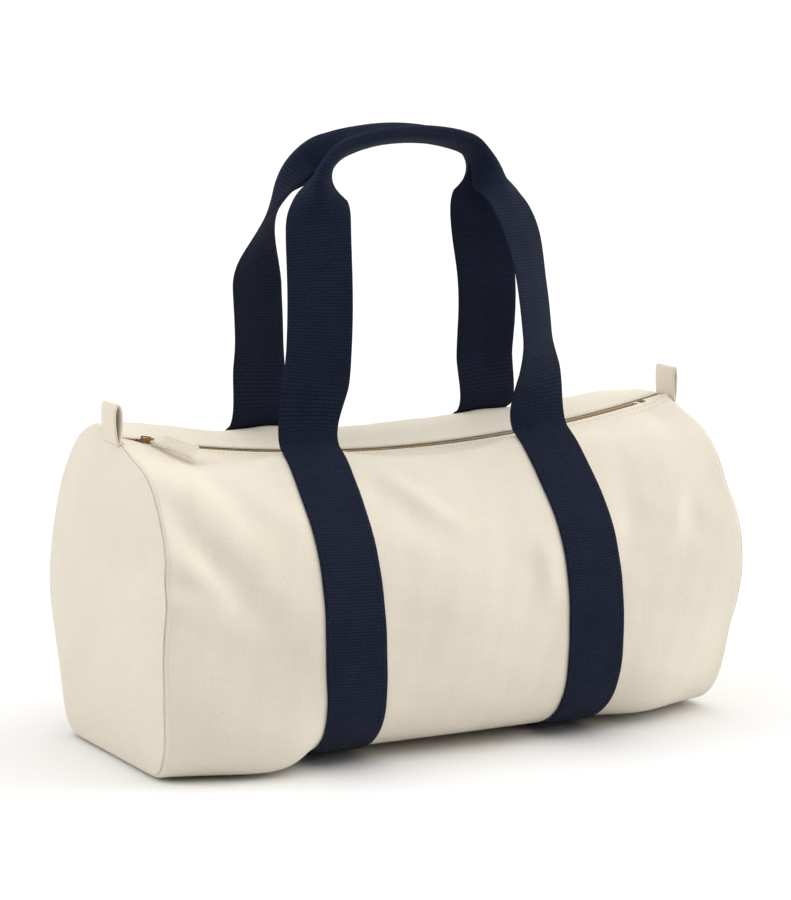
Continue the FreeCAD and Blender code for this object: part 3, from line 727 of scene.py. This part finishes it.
def natural_canvas(name, pitch, colour, shade_colour, fleck_colour):
    """Unbleached cotton canvas, plain woven: matt and warm, with uneven threads, slubs and seed flecks.

    Real threads lie about 0.6 mm apart, too fine to show, so they are drawn twice as coarse. Slubs are
    1.6 mm wide and 38 mm long, clouds of tone 70 mm wide, and seeds lie 17 mm apart.
    """
    material, tree, shader, uv = new_material(name, "UV")
    weave = plain_weave(tree, uv, pitch)
    fine, coarse = 1 / (1.6 * MM), 1 / (38 * MM)
    slubs = []
    for scale in ((fine, coarse, 1), (coarse, fine, 1)):
        streaks = add_node(tree, "Mapping", {"Vector": uv, "Scale": scale})
        slubs.append(add_node(tree, "TexNoise", {"Vector": streaks, "Scale": 1.0, "Detail": 2.0}, "Fac"))
    slub = add_node(tree, "Math", {0: slubs[0], 1: slubs[1]}, operation="ADD")
    cloud = add_node(tree, "TexNoise", {"Vector": uv, "Scale": 1 / (70 * MM), "Detail": 3.0}, "Fac")
    shade = -0.4
    for pattern, amount in ((slub, 0.5), (weave, -0.22), (cloud, 0.5)):
        shade = add_node(tree, "Math", {0: pattern, 1: amount, 2: shade}, operation="MULTIPLY_ADD",
                         use_clamp=pattern == cloud)
    cloth = add_node(tree, "Mix", {"Factor": shade, MIX_A: colour, MIX_B: shade_colour}, MIX_RESULT,
                     data_type="RGBA")
    seeds = add_node(tree, "TexVoronoi", {"Vector": uv, "Scale": 1 / (17 * MM)}, "Distance")
    seed_size = add_node(tree, "SeparateColor", {0: seeds.node.outputs["Color"]})
    seed_edge = add_node(tree, "Math", {0: seed_size, 1: 0.045}, operation="MULTIPLY")
    fleck = add_node(tree, "Math", {0: seeds, 1: seed_edge}, operation="LESS_THAN")
    fleck = add_node(tree, "Math", {0: fleck, 1: 0.55}, operation="MULTIPLY")
    cloth = add_node(tree, "Mix", {"Factor": fleck, MIX_A: cloth, MIX_B: fleck_colour}, MIX_RESULT,
                     data_type="RGBA")
    height = add_node(tree, "Math", {0: slub, 1: 0.8, 2: weave}, operation="MULTIPLY_ADD")
    bump = add_node(tree, "Bump", {"Strength": 0.35, "Distance": 0.25 * MM, "Height": height})
    set_inputs(tree, shader, {
        "Base Color": cloth, "Normal": bump, "Roughness": 0.92, "Specular IOR Level": 0.2,
        "Sheen Weight": 0.12, "Sheen Roughness": 0.6})
    return material


def navy_webbing(name, pitch, colour, shade_colour):
    """Navy cotton webbing, ribbed: rows of short raised threads, each row shifted by half, dark in between.

    Real ribs lie about 2 mm apart and are drawn slightly coarser so that they show. The fuzz of the threads
    is 1.1 mm wide, and worn patches are 30 mm wide.
    """
    material, tree, shader, uv = new_material(name, "UV")
    rows = add_node(tree, "TexBrick", {
        "Vector": uv, "Color1": (0.62, 0.62, 0.62, 1), "Color2": (0.46, 0.46, 0.46, 1),
        "Mortar": (0, 0, 0, 1), "Scale": 1.0, "Mortar Size": 0.2 * pitch, "Mortar Smooth": 1.0, "Bias": 0.0,
        "Brick Width": 1.1 * pitch, "Row Height": pitch}, "Color", offset=0.5, squash=1.0)
    fuzz = add_node(tree, "TexNoise", {"Vector": uv, "Scale": 1 / (1.1 * MM), "Detail": 3.0}, "Fac")
    wear = add_node(tree, "TexNoise", {"Vector": uv, "Scale": 1 / (30 * MM), "Detail": 2.0}, "Fac")
    raised = add_node(tree, "Math", {0: rows, 1: fuzz}, operation="MULTIPLY")
    raised = add_node(tree, "Math", {0: wear, 1: 0.12, 2: raised}, operation="MULTIPLY_ADD", use_clamp=True)
    cloth = add_node(tree, "Mix", {"Factor": raised, MIX_A: shade_colour, MIX_B: colour}, MIX_RESULT,
                     data_type="RGBA")
    height = add_node(tree, "Math", {0: fuzz, 1: 0.4, 2: rows}, operation="MULTIPLY_ADD")
    bump = add_node(tree, "Bump", {"Strength": 0.8, "Distance": 0.5 * MM, "Height": height})
    set_inputs(tree, shader, {
        "Base Color": cloth, "Normal": bump, "Roughness": 0.9, "Specular IOR Level": 0.12,
        "Sheen Weight": 0.02, "Sheen Roughness": 0.5})
    return material


def cotton_tape(name, pitch, colour, shade_colour):
    """Woven cotton tape: close and fine, matt, and lighter than the canvas in clouds about 9 mm wide. The
    pale tape colour is partly the tape's own and partly painted light against the shade between the hems.
    """
    material, tree, shader, uv = new_material(name, "UV")
    weave = plain_weave(tree, uv, pitch)
    cloud = add_node(tree, "TexNoise", {"Vector": uv, "Scale": 1 / (9 * MM), "Detail": 2.0}, "Fac")
    shade = add_node(tree, "Math", {0: weave, 1: cloud}, operation="MULTIPLY")
    cloth = add_node(tree, "Mix", {"Factor": shade, MIX_A: shade_colour, MIX_B: colour}, MIX_RESULT,
                     data_type="RGBA")
    bump = add_node(tree, "Bump", {"Strength": 0.4, "Distance": 0.15 * MM, "Height": weave})
    set_inputs(tree, shader, {
        "Base Color": cloth, "Normal": bump, "Roughness": 0.9, "Specular IOR Level": 0.2})
    return material


def cotton_thread(name, pitch, colour, shade_colour):
    """Twisted cotton sewing thread: fine slanted plies with a dull shine on their backs."""
    material, tree, shader, place = new_material(name, "Object")
    plies = add_node(tree, "TexWave", {"Vector": place, "Scale": WAVE / pitch, "Distortion": 1.0}, "Fac",
                     bands_direction="DIAGONAL")
    cloth = add_node(tree, "Mix", {"Factor": plies, MIX_A: shade_colour, MIX_B: colour}, MIX_RESULT,
                     data_type="RGBA")
    bump = add_node(tree, "Bump", {"Strength": 0.3, "Distance": 0.1 * MM, "Height": plies})
    set_inputs(tree, shader, {"Base Color": cloth, "Normal": bump, "Roughness": 0.75})
    return material


def antique_brass(name, pitch, bright, dark):
    """Antique brass, stamped and darkened: brown in the recesses, brighter and smoother where rubbed."""
    material, tree, shader, place = new_material(name, "Object")
    rub = add_node(tree, "TexNoise", {"Vector": place, "Scale": 1 / pitch, "Detail": 4.0}, "Fac")
    colour = add_node(tree, "Mix", {"Factor": rub, MIX_A: dark, MIX_B: bright}, MIX_RESULT, data_type="RGBA")
    rough = add_node(tree, "MapRange", {"Value": rub, "To Min": 0.55, "To Max": 0.3})
    bump = add_node(tree, "Bump", {"Strength": 0.15, "Distance": 0.1 * MM, "Height": rub})
    set_inputs(tree, shader, {"Base Color": colour, "Roughness": rough, "Normal": bump, "Metallic": 1.0})
    return material


def studio_paper(name, pitch, colour):
    """Matt background paper: pale and even, with a faint grain."""
    material, tree, shader, place = new_material(name, "Object")
    grain = add_node(tree, "TexNoise", {"Vector": place, "Scale": 1 / pitch, "Detail": 2.0}, "Fac")
    tint = add_node(tree, "MapRange", {"Value": grain, "To Min": 0.98, "To Max": 1.0})
    paper = add_node(tree, "Mix", {"Factor": 1.0, MIX_A: colour, MIX_B: tint}, MIX_RESULT,
                     data_type="RGBA", blend_type="MULTIPLY")
    set_inputs(tree, shader, {"Base Color": paper, "Roughness": 1.0, "Specular IOR Level": 0.0})
    return material


# Materials by kind: name, maker, the size of its pattern and its colours
FINISHES = {
    "canvas": ("Unbleached cotton canvas, plain weave", natural_canvas, "weave_pitch",
               "canvas", "canvas_shade", "fleck"),
    "webbing": ("Navy cotton webbing, ribbed weave", navy_webbing, "rib_pitch", "webbing", "webbing_shade"),
    "tape": ("Woven cotton tape, fine rib", cotton_tape, "tape_pitch", "tape", "canvas"),
    "cream_thread": ("Cream cotton thread, twisted", cotton_thread, "ply_pitch", "canvas", "canvas_shade"),
    "navy_thread": ("Navy cotton thread, twisted", cotton_thread, "ply_pitch",
                    "navy_thread", "webbing_shade"),
    # The teeth's brass is painted brighter than the slider's, as painted light against the shade between the
    # hems.
    "teeth": ("Brass teeth, painted brighter than the slider", antique_brass, "rub_size", "teeth", "teeth_dark"),
    "brass": ("Antique brass, stamped and rubbed", antique_brass, "rub_size", "brass", "brass_dark"),
    "paper": ("Studio paper, matt", studio_paper, "grain_size", "floor"),
}


def material_of(bag, kind):
    """The bag's material of that kind, made the first time it is asked for, its colours with full alpha."""
    name, make, size, *colours = FINISHES[kind]
    colours = [(*getattr(bag.colours, colour), 1.0) for colour in colours]
    return bpy.data.materials.get(name) or make(name, getattr(bag.sizes, size), *colours)


def ends_spaced(middle_count):
    """Places from one end seam to the other, close together where the canvas rolls in at the seams."""
    inner = HALF_LENGTH - NEAR_SEAM[-1]
    edge = HALF_LENGTH - NEAR_SEAM[:-1]
    return np.concatenate([-edge, np.linspace(-inner, inner, middle_count), edge[::-1]])


class BAG_OT_main_panel(bpy.types.Operator):
    """Wrap the main panel round the barrel, with hems beside the zip and rolled edges at the end seams"""
    bl_idname = "barrel_bag.main_panel"
    bl_label = "Main panel"

    def execute(self, context):
        bag = context.scene.barrel_bag
        sizes = bag.sizes
        x = ends_spaced(176)[:, None]
        front = angle_at(x, -(MOUTH_HALF_GAP + NEAR_MOUTH)[None, :])
        share = np.linspace(0.0, 1.0, 171)[None, 1:-1]
        first = front[:, -1:]
        round_way = first + (rear_angle(first) - first) * share
        angle = np.concatenate([front, round_way, rear_angle(front[:, ::-1])], axis=1)
        groove = GROOVE_SHARE * bell(NEAR_MOUTH, HEM_ROW, GROOVE_WIDTH)
        hem = sizes.hem_height * (1 - rise(NEAR_MOUTH, sizes.hem_width, HEM_STEP) - groove)
        offset = np.concatenate([hem, np.zeros(share.size), hem[::-1]])[None, :]
        offset = offset - seam_roll(sizes, HALF_LENGTH - np.abs(x))
        points = canvas_points(sizes, x, angle, offset)
        girth = lengths_along(points[points.shape[0] // 2])
        uv = grid(x, girth[None, :])
        piece = add_piece("main_panel_canvas", points, material_of(bag, "canvas"), uv,
                          thickness=sizes.canvas_thickness)
        settle(piece, "bag", "natural_canvas", "main_panel")
        return {"FINISHED"}


class BAG_OT_end_panels(bpy.types.Operator):
    """Fill both ends with swollen canvas panels that meet the main panel in a rolled seam"""
    bl_idname = "barrel_bag.end_panels"
    bl_label = "End panels"

    def execute(self, context):
        bag = context.scene.barrel_bag
        sizes = bag.sizes
        angle = np.linspace(0.0, FULL_TURN, 180, endpoint=False)
        inward = np.concatenate([NEAR_SEAM, TO_END_MIDDLE])[:, None]
        radius = 1 - inward / END_REACH
        centre = np.array([0.0, END_BELLY])
        for side, name in SIDES:
            rim = canvas_points(sizes, np.full_like(angle, side * HALF_LENGTH), angle)
            from_centre = rim[:, 1:] - centre
            size = np.linalg.norm(from_centre, axis=1)
            shrink = radius - seam_roll(sizes, inward) / size[None, :]
            place = from_centre[None] * shrink[..., None] + centre
            y, z = place[..., 0], place[..., 1]
            dent = sizes.dent_depth * sum(
                share * bell(y, middle, length) * bell(z - slope * y, height, width)
                for middle, length, height, slope, width, share in END_DENTS)
            # The swell is 1 less a power of the ring's share, and dents and ripples fade towards the seam
            swell = END_SWELL * (1 - radius ** END_POWER)
            wave = np.sin(END_RIPPLES[0] * y + 1.0) * np.sin(END_RIPPLES[1] * z + side) * (1 - radius ** 8)
            reach = HALF_LENGTH + (np.abs(rim[:, 0])[None, :] - HALF_LENGTH) * radius ** 2
            out = swell + sizes.ripple_height * wave - dent * (1 - radius ** 6)
            x = side * (reach + SEAM_GAP + out)
            points = grid(x, y, z)
            piece = add_piece(f"{name}_end_canvas", points, material_of(bag, "canvas"), grid(y, z),
                              wrap=True, thickness=sizes.canvas_thickness)
            close_pole(piece, points[-1])
            settle(piece, "bag", "natural_canvas", f"{name}_end_panel")
        return {"FINISHED"}


class BAG_OT_seam_bindings(bpy.types.Operator):
    """Bind the raw edges of the end seams inside the bag with tape"""
    bl_idname = "barrel_bag.seam_bindings"
    bl_label = "Seam bindings"

    def execute(self, context):
        bag = context.scene.barrel_bag
        sizes = bag.sizes
        low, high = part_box("right_seam_binding")
        x = np.linspace(low.x, high.x, 6)[:, None]
        first = angle_at(x, -BINDING_START)
        angle = first + (rear_angle(first) - first) * np.linspace(0.0, 1.0, 140)[None, :]
        depth = -(sizes.seam_depth + sizes.canvas_thickness + sizes.sewing_gap)
        for side, name in SIDES:
            points = canvas_points(sizes, side * x, angle, depth)
            piece = add_piece(f"{name}_seam_binding_tape", points, material_of(bag, "tape"),
                              grid(x, angle * BINDING_RADIUS), thickness=BINDING_CLOTH)
            settle(piece, "bag", "cotton_tape", f"{name}_seam_binding")
        return {"FINISHED"}


class BAG_OT_straps(bpy.types.Operator):
    """Lay the two webbing straps round the canvas, from splice to splice under the bag"""
    bl_idname = "barrel_bag.straps"
    bl_label = "Straps"

    def execute(self, context):
        bag = context.scene.barrel_bag
        sizes = bag.sizes
        across, over = band_section()
        _, half = strap_angles(sizes, np.zeros(1))
        run = np.linspace(SPLICE, half, 110)
        front, _ = strap_angles(sizes, run)
        angle = np.concatenate([front, rear_angle(front[-2::-1])])
        along = np.concatenate([run, 2 * half - run[-2::-1]])
        uv = grid(across[None, :] * WEBBING_WIDTH / 2, along[:, None])
        for side, name in SIDES:
            points = webbing_on_canvas(sizes, side, angle, across, over)
            points[..., 2] = np.maximum(points[..., 2], FLOOR_GAP)
            piece = add_piece(f"{name}_strap_webbing", points, material_of(bag, "webbing"), uv, wrap=True,
                              caps=True)
            settle(piece, "bag", "navy_webbing", f"{name}_strap")
        return {"FINISHED"}


class BAG_OT_handles(bpy.types.Operator):
    """Raise the two handles from the straps: legs that turn outwards and fold into narrow grips"""
    bl_idname = "barrel_bag.handles"
    bl_label = "Handles"

    def execute(self, context):
        bag = context.scene.barrel_bag
        across, _ = band_section()
        run = np.concatenate([np.linspace(-SPLICE, CLOSE_ROWS, 26)[:-1],
                              np.linspace(CLOSE_ROWS, HALF_HANDLE, 100)])
        along = np.concatenate([run, 2 * HALF_HANDLE - run[-2::-1]])
        uv = grid(across[None, :] * WEBBING_WIDTH / 2, along[:, None])
        for face, name in FACES:
            left = handle_half(bag.sizes, face, 1, run)
            right = handle_half(bag.sizes, face, -1, run)
            points = np.concatenate([left, right[-2::-1]])
            piece = add_piece(f"{name}_handle_webbing", points, material_of(bag, "webbing"), uv, wrap=True,
                              caps=True)
            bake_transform(piece)
            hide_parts(f"{name}_handle")
        return {"FINISHED"}


class BAG_OT_end_loops(bpy.types.Operator):
    """Stand a folded canvas loop on the top of each end seam, open in the middle and drawn in at its feet"""
    bl_idname = "barrel_bag.end_loops"
    bl_label = "End loops"

    def execute(self, context):
        bag = context.scene.barrel_bag
        for name, aside, half_width, taller in LOOPS:
            low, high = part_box(f"{name}_end_loop")
            middle = (low.x + high.x) / 2
            height = high.z - low.z - LOOP_CLOTH / 2 + taller
            turn = np.linspace(0.0, math.pi, 49)[:, None]
            share = np.linspace(0.0, 1.0, 15)[None, :]
            y = low.y + (high.y - low.y) * share + aside
            # From foot to foot the height is a sine and the opening a cosine times a power of the sine
            open_at = half_width / LOOP_PEAK * (1 - LOOP_CLOSE * share)
            x = middle - open_at * np.cos(turn) * np.sin(turn) ** LOOP_POWER
            foot = LOOP_FOOT - LOOP_FOOT_LESS * share
            z = low.z - foot + (height + foot) * np.sin(turn)
            piece = add_piece(f"{name}_end_loop_canvas", grid(x, y, z), material_of(bag, "canvas"),
                              grid(turn * height / 1.5, y), thickness=LOOP_CLOTH, offset=0.0)
            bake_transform(piece)
            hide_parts(f"{name}_end_loop")
        return {"FINISHED"}


class BAG_OT_zip(bpy.types.Operator):
    """Sew the two zip tapes under the hems and finish the teeth, stops and slider in brass"""
    bl_idname = "barrel_bag.zip"
    bl_label = "Zip"

    def execute(self, context):
        bag = context.scene.barrel_bag
        sizes = bag.sizes
        low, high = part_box("rear_zip_tape")
        tape_end = HALF_LENGTH - TAPE_SHORT
        x = np.linspace(-tape_end, tape_end, 160)[:, None]
        beyond = np.maximum(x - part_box("rear_zip_teeth")[1].x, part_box("zip_top_stops")[0].x - x)
        inner = low.y * (1 - rise(beyond, *TAPE_CLOSE)) + TAPE_HALF_GAP
        reach = inner + (high.y - inner) * np.linspace(0.0, 1.0, 9)[None, :]
        depth = -(sizes.canvas_thickness + TAPE_GAP_SHARE * sizes.sewing_gap)
        for face, name in FACES:
            points = canvas_points(sizes, x, angle_at(x, face * reach), depth)
            piece = add_piece(f"{name}_zip_tape_weave", points, material_of(bag, "tape"), grid(x, reach),
                              thickness=TAPE_CLOTH)
            settle(piece, "bag", "cotton_tape", f"{name}_zip_tape")
        metal = {
            "teeth": ("front_zip_teeth", "rear_zip_teeth"),
            "brass": ("zip_top_stops", "zip_bottom_stop", "slider_body", "slider_crown", "pull_link"),
        }
        for kind, nodes in metal.items():
            for node in nodes:
                piece = frame["nodes"][node]
                piece.data.materials.clear()
                piece.data.materials.append(material_of(bag, kind))
        return {"FINISHED"}


Pull = namedtuple("Pull", "start ahead axis normal length width")


def pull_axes():
    """Start of the pull tab, its direction, its hinge's axis, its upward normal, its length and its width.

    They come from the tab's joint and from the corners of its node.
    """
    joint = JOINTS["tab_swing"]
    start, axis = np.array(joint["pos_m"]), np.array(joint["axis"])
    corners = np.array([vertex.co for vertex in frame["nodes"]["pull_tab"].data.vertices])
    ahead = corners.mean(axis=0) - start
    ahead = unit(ahead - axis * (ahead @ axis))
    length, width = ((corners - start) @ ahead).max(), np.ptp(corners @ axis)
    return Pull(start, ahead, axis, np.cross(axis, ahead), length, width)


def tab_points(pull, run, aside, over):
    """Points of the tab, which turns about its own length behind the wire and droops to its tip.

    The turn is an eased rise of the way along, and the droop a power of it.
    """
    first, more = TAB_ROLL
    roll = np.radians(first + more * rise(run, *TAB_ROLL_SPAN))[..., None]
    wide = np.cos(roll) * pull.axis - np.sin(roll) * pull.normal
    high = np.cos(roll) * pull.normal + np.sin(roll) * pull.axis
    droop = TAB_DROOP * np.maximum(run / pull.length, 0.0) ** TAB_DROOP_POWER
    return (pull.start + run[..., None] * pull.ahead - droop[..., None] * pull.normal
            + aside[..., None] * wide + over[..., None] * high)


class BAG_OT_pull_tab(bpy.types.Operator):
    """Fold the canvas pull tab round the wire link and stitch its edges"""
    bl_idname = "barrel_bag.pull_tab"
    bl_label = "Pull tab"

    def execute(self, context):
        bag = context.scene.barrel_bag
        sizes = bag.sizes
        pull = pull_axes()
        # Round the wire by half a turn, along the underside, round the tip and back along the top
        turn = np.linspace(math.pi / 2, 1.5 * math.pi, 13)
        flat = np.linspace(0.08, 1.0, 22)
        tip = np.linspace(-math.pi / 2, math.pi / 2, 7)[1:-1]
        end = pull.length - TAB_HALF
        over = TAB_CURL + (TAB_HALF - TAB_CURL) * rise(flat * pull.length, *TAB_CLOSE)
        run = np.concatenate([TAB_CURL * np.cos(turn), flat * end, end + TAB_HALF * np.cos(tip),
                              flat[::-1] * end])
        height = np.concatenate([TAB_CURL * np.sin(turn), -over, TAB_HALF * np.sin(tip), over[::-1]])
        across = np.sin(np.linspace(-math.pi / 2, math.pi / 2, 15))[:, None]
        edge = np.sqrt(1 - across ** TAB_EDGE_POWER)
        height = height[None, :] * (TAB_EDGE_LEAST + (1 - TAB_EDGE_LEAST) * edge)
        aside = across * pull.width / 2
        points = tab_points(pull, *np.broadcast_arrays(run[None, :], aside, height))
        piece = add_piece("pull_tab_canvas", points, material_of(bag, "canvas"), grid(run[None, :], aside),
                          wrap=True, caps=True)
        settle(piece, "pull_tab", "natural_canvas", "pull_tab")
        first, room = TAB_STITCH_SPAN
        along = np.arange(first, pull.length - room, sizes.stitch_pitch * TAB_STITCH)
        row = pull.width / 2 - TAB_STITCH_EDGE
        along, aside = grid(along[:, None], np.array([-row, row])[None, :]).reshape(-1, 2).T
        top = np.full_like(along, TAB_HALF * TAB_STITCH_SINK)
        centres = tab_points(pull, along, aside, top)
        tangents = tab_points(pull, along + 1 * MM, aside, top) - centres
        normals = tab_points(pull, along, aside, top + 1 * MM) - centres
        sew("pull_tab_stitches", [(centres, unit(tangents), unit(normals))], sizes, TAB_STITCH,
            material_of(bag, "cream_thread"), "pull_tab", "natural_canvas")
        return {"FINISHED"}


def stitch_template(length, thick):
    """One stitch as a slim ellipsoid: rings of points between two tips, with its faces."""
    place = np.linspace(-0.9, 0.9, STITCH_RINGS)[:, None]
    turn = np.linspace(0.0, FULL_TURN, STITCH_CORNERS, endpoint=False)
    radius = np.sqrt(1 - place ** 2) * thick / 2
    points = grid(place * length / 2, radius * np.cos(turn), radius * np.sin(turn))
    index = np.arange(STITCH_RINGS * STITCH_CORNERS).reshape(STITCH_RINGS, STITCH_CORNERS)
    right = np.roll(index, -1, axis=1)
    sides = np.stack([index[:-1], right[:-1], right[1:], index[1:]], axis=-1).reshape(-1, 4)
    return points.reshape(-1, 3), sides, index[[0, -1]]


def sew(name, rows, sizes, share, material, body, slot):
    """One piece of all the stitches at (centres, tangents, normals): the template turned to each at once."""
    template, sides, tips = stitch_template(sizes.stitch_length * share, sizes.thread)
    centres, tangents, normals = (np.concatenate(parts) for parts in zip(*rows))
    axes = np.stack([tangents, np.cross(normals, tangents), normals], axis=1)
    points = centres[:, None] + np.einsum("pk,nkc->npc", template, axes)
    shifts = (np.arange(len(centres)) * len(template))[:, None, None]
    faces = (sides[None] + shifts).reshape(-1, 4).tolist()
    faces += (tips[None] + shifts).reshape(-1, STITCH_CORNERS).tolist()
    settle(mesh_object(name, points.reshape(-1, 3), faces, material), body, slot)


def row_on_canvas(sizes, x, angle, height, step_x, step_angle):
    """Stitch places on the canvas with tangents and normals from two small steps."""
    centres = canvas_points(sizes, x, angle, height)
    tangents = canvas_points(sizes, x + step_x, angle + step_angle, height) - centres
    normals = canvas_points(sizes, x, angle, height + 1 * MM) - centres
    return centres, unit(tangents), unit(normals)


class BAG_OT_stitching(bpy.types.Operator):
    """Topstitch the hems beside the zip and sew the straps on along their edges and across their ends"""
    bl_idname = "barrel_bag.stitching"
    bl_label = "Stitching"

    def execute(self, context):
        bag = context.scene.barrel_bag
        sizes = bag.sizes
        pitch = sizes.stitch_pitch
        x = np.arange(-HALF_LENGTH + HEM_STITCH_END, HALF_LENGTH - HEM_STITCH_END, pitch)
        hem_y = MOUTH_HALF_GAP + HEM_ROW
        height = HEM_STITCH_SHARE * sizes.hem_height + HEM_STITCH_RISE
        rows = [row_on_canvas(sizes, x, angle_at(x, face * hem_y), height, 1 * MM, 0.0) for face, _ in FACES]
        sew("hem_stitches", rows, sizes, 1.0, material_of(bag, "cream_thread"), "bag", "natural_canvas")

        _, half = strap_angles(sizes, np.zeros(1))
        front, _ = strap_angles(sizes, np.arange(STRAP_STITCH_FIRST, half, pitch))
        angle = np.concatenate([front, rear_angle(front[::-1])])
        _, z = outline(np.full_like(angle, STRAP_X), angle)
        off_floor = z > STRAP_STITCH_FLOOR
        angle, middle = angle[off_floor], strap_middle(z[off_floor])
        edge = WEBBING_WIDTH / 2 - STRAP_STITCH_EDGE
        cross = np.arange(-WEBBING_WIDTH / 2 + STRAP_STITCH_FIRST, edge, pitch)
        over = sizes.sewing_gap + sizes.webbing_thickness - STRAP_STITCH_SINK
        rows = []
        for side, _ in SIDES:
            for aside in (-edge, edge):
                rows.append(row_on_canvas(sizes, side * middle + aside, angle, over, 0.0, SMALL_ANGLE))
            for distance in (STRAP_STITCH_FIRST, SPLICE):
                at, _ = strap_angles(sizes, np.full_like(cross, distance))
                for face_angle in (at, rear_angle(at)):
                    rows.append(row_on_canvas(sizes, side * STRAP_X + cross, face_angle, over, 1 * MM, 0.0))
        sew("strap_stitches", rows, sizes, 1.0, material_of(bag, "navy_thread"), "bag", "navy_webbing")
        return {"FINISHED"}


class BAG_OT_stage(bpy.types.Operator):
    """Set the pale floor, the soft lights and the camera"""
    bl_idname = "barrel_bag.stage"
    bl_label = "Stage"

    def execute(self, context):
        scene = context.scene
        corner = np.array([-FLOOR_HALF, FLOOR_HALF])[:, None]
        paper = material_of(scene.barrel_bag, "paper")
        floor = add_piece("studio_floor", grid(corner, corner.T, 0.0), paper)

        world = bpy.data.worlds.new("Soft white room")
        world.use_nodes = True
        set_inputs(world.node_tree, world.node_tree.nodes["Background"],
                   {"Color": ROOM_COLOUR, "Strength": ROOM_STRENGTH})
        scene.world = world
        for name, towards, strength, spread in SOFTBOXES:
            light = bpy.data.lights.new(name, "SUN")
            light.energy = strength
            light.angle = math.radians(spread)
            lamp = bpy.data.objects.new(name, light)
            lamp.rotation_euler = Vector(towards).to_track_quat("Z", "Y").to_euler()
            scene.collection.objects.link(lamp)

        level = math.cos(ELEVATION)
        back = Vector((math.sin(AZIMUTH) * level, -math.cos(AZIMUTH) * level, math.sin(ELEVATION)))
        view = bpy.data.cameras.new("Photo view")
        view.sensor_fit = "VERTICAL"
        view.sensor_height = SENSOR
        view.lens = SENSOR * FOCAL_PIXELS / PHOTO_HEIGHT
        view.shift_x = (PHOTO_WIDTH / 2 - PHOTO_AXIS_X) / PHOTO_HEIGHT
        view.shift_y = (PHOTO_AXIS_Y - PHOTO_HEIGHT / 2) / PHOTO_HEIGHT
        view.clip_end = 200.0
        camera = bpy.data.objects.new("Photo view", view)
        camera.location = CAMERA_TARGET + back * CAMERA_DISTANCE
        camera.rotation_euler = back.to_track_quat("Z", "Y").to_euler()
        scene.collection.objects.link(camera)
        scene.camera = camera
        scene.view_settings.view_transform = "Standard"
        return {"FINISHED"}


class BagSettings(bpy.types.PropertyGroup):
    """All settings of the bag."""
    sizes: PointerProperty(type=BagSizes)
    colours: PointerProperty(type=BagColours)


OPERATORS = (BAG_OT_stage, BAG_OT_main_panel, BAG_OT_end_panels, BAG_OT_seam_bindings, BAG_OT_straps,
             BAG_OT_handles, BAG_OT_end_loops, BAG_OT_zip, BAG_OT_pull_tab, BAG_OT_stitching)


class BAG_PT_sidebar(bpy.types.Panel):
    """Lists the bag's pieces"""
    bl_idname = "BAG_PT_sidebar"
    bl_label = "Canvas barrel bag"
    bl_space_type = "VIEW_3D"
    bl_region_type = "UI"
    bl_category = "Bag"

    def draw(self, context):
        for operator in OPERATORS:
            self.layout.operator(operator.bl_idname)


CLASSES = (BagSizes, BagColours, BagSettings, *OPERATORS, BAG_PT_sidebar)


def register():
    """Adds the classes and the scene's bag settings."""
    for cls in CLASSES:
        bpy.utils.register_class(cls)
    bpy.types.Scene.barrel_bag = PointerProperty(type=BagSettings)


def unregister():
    """Takes the bag settings and the classes away again."""
    del bpy.types.Scene.barrel_bag
    for cls in reversed(CLASSES):
        bpy.utils.unregister_class(cls)


def main():
    register()
    for operator in OPERATORS:
        group, name = operator.bl_idname.split(".")
        getattr(getattr(bpy.ops, group), name)()


if __name__ == "__main__":
    main()
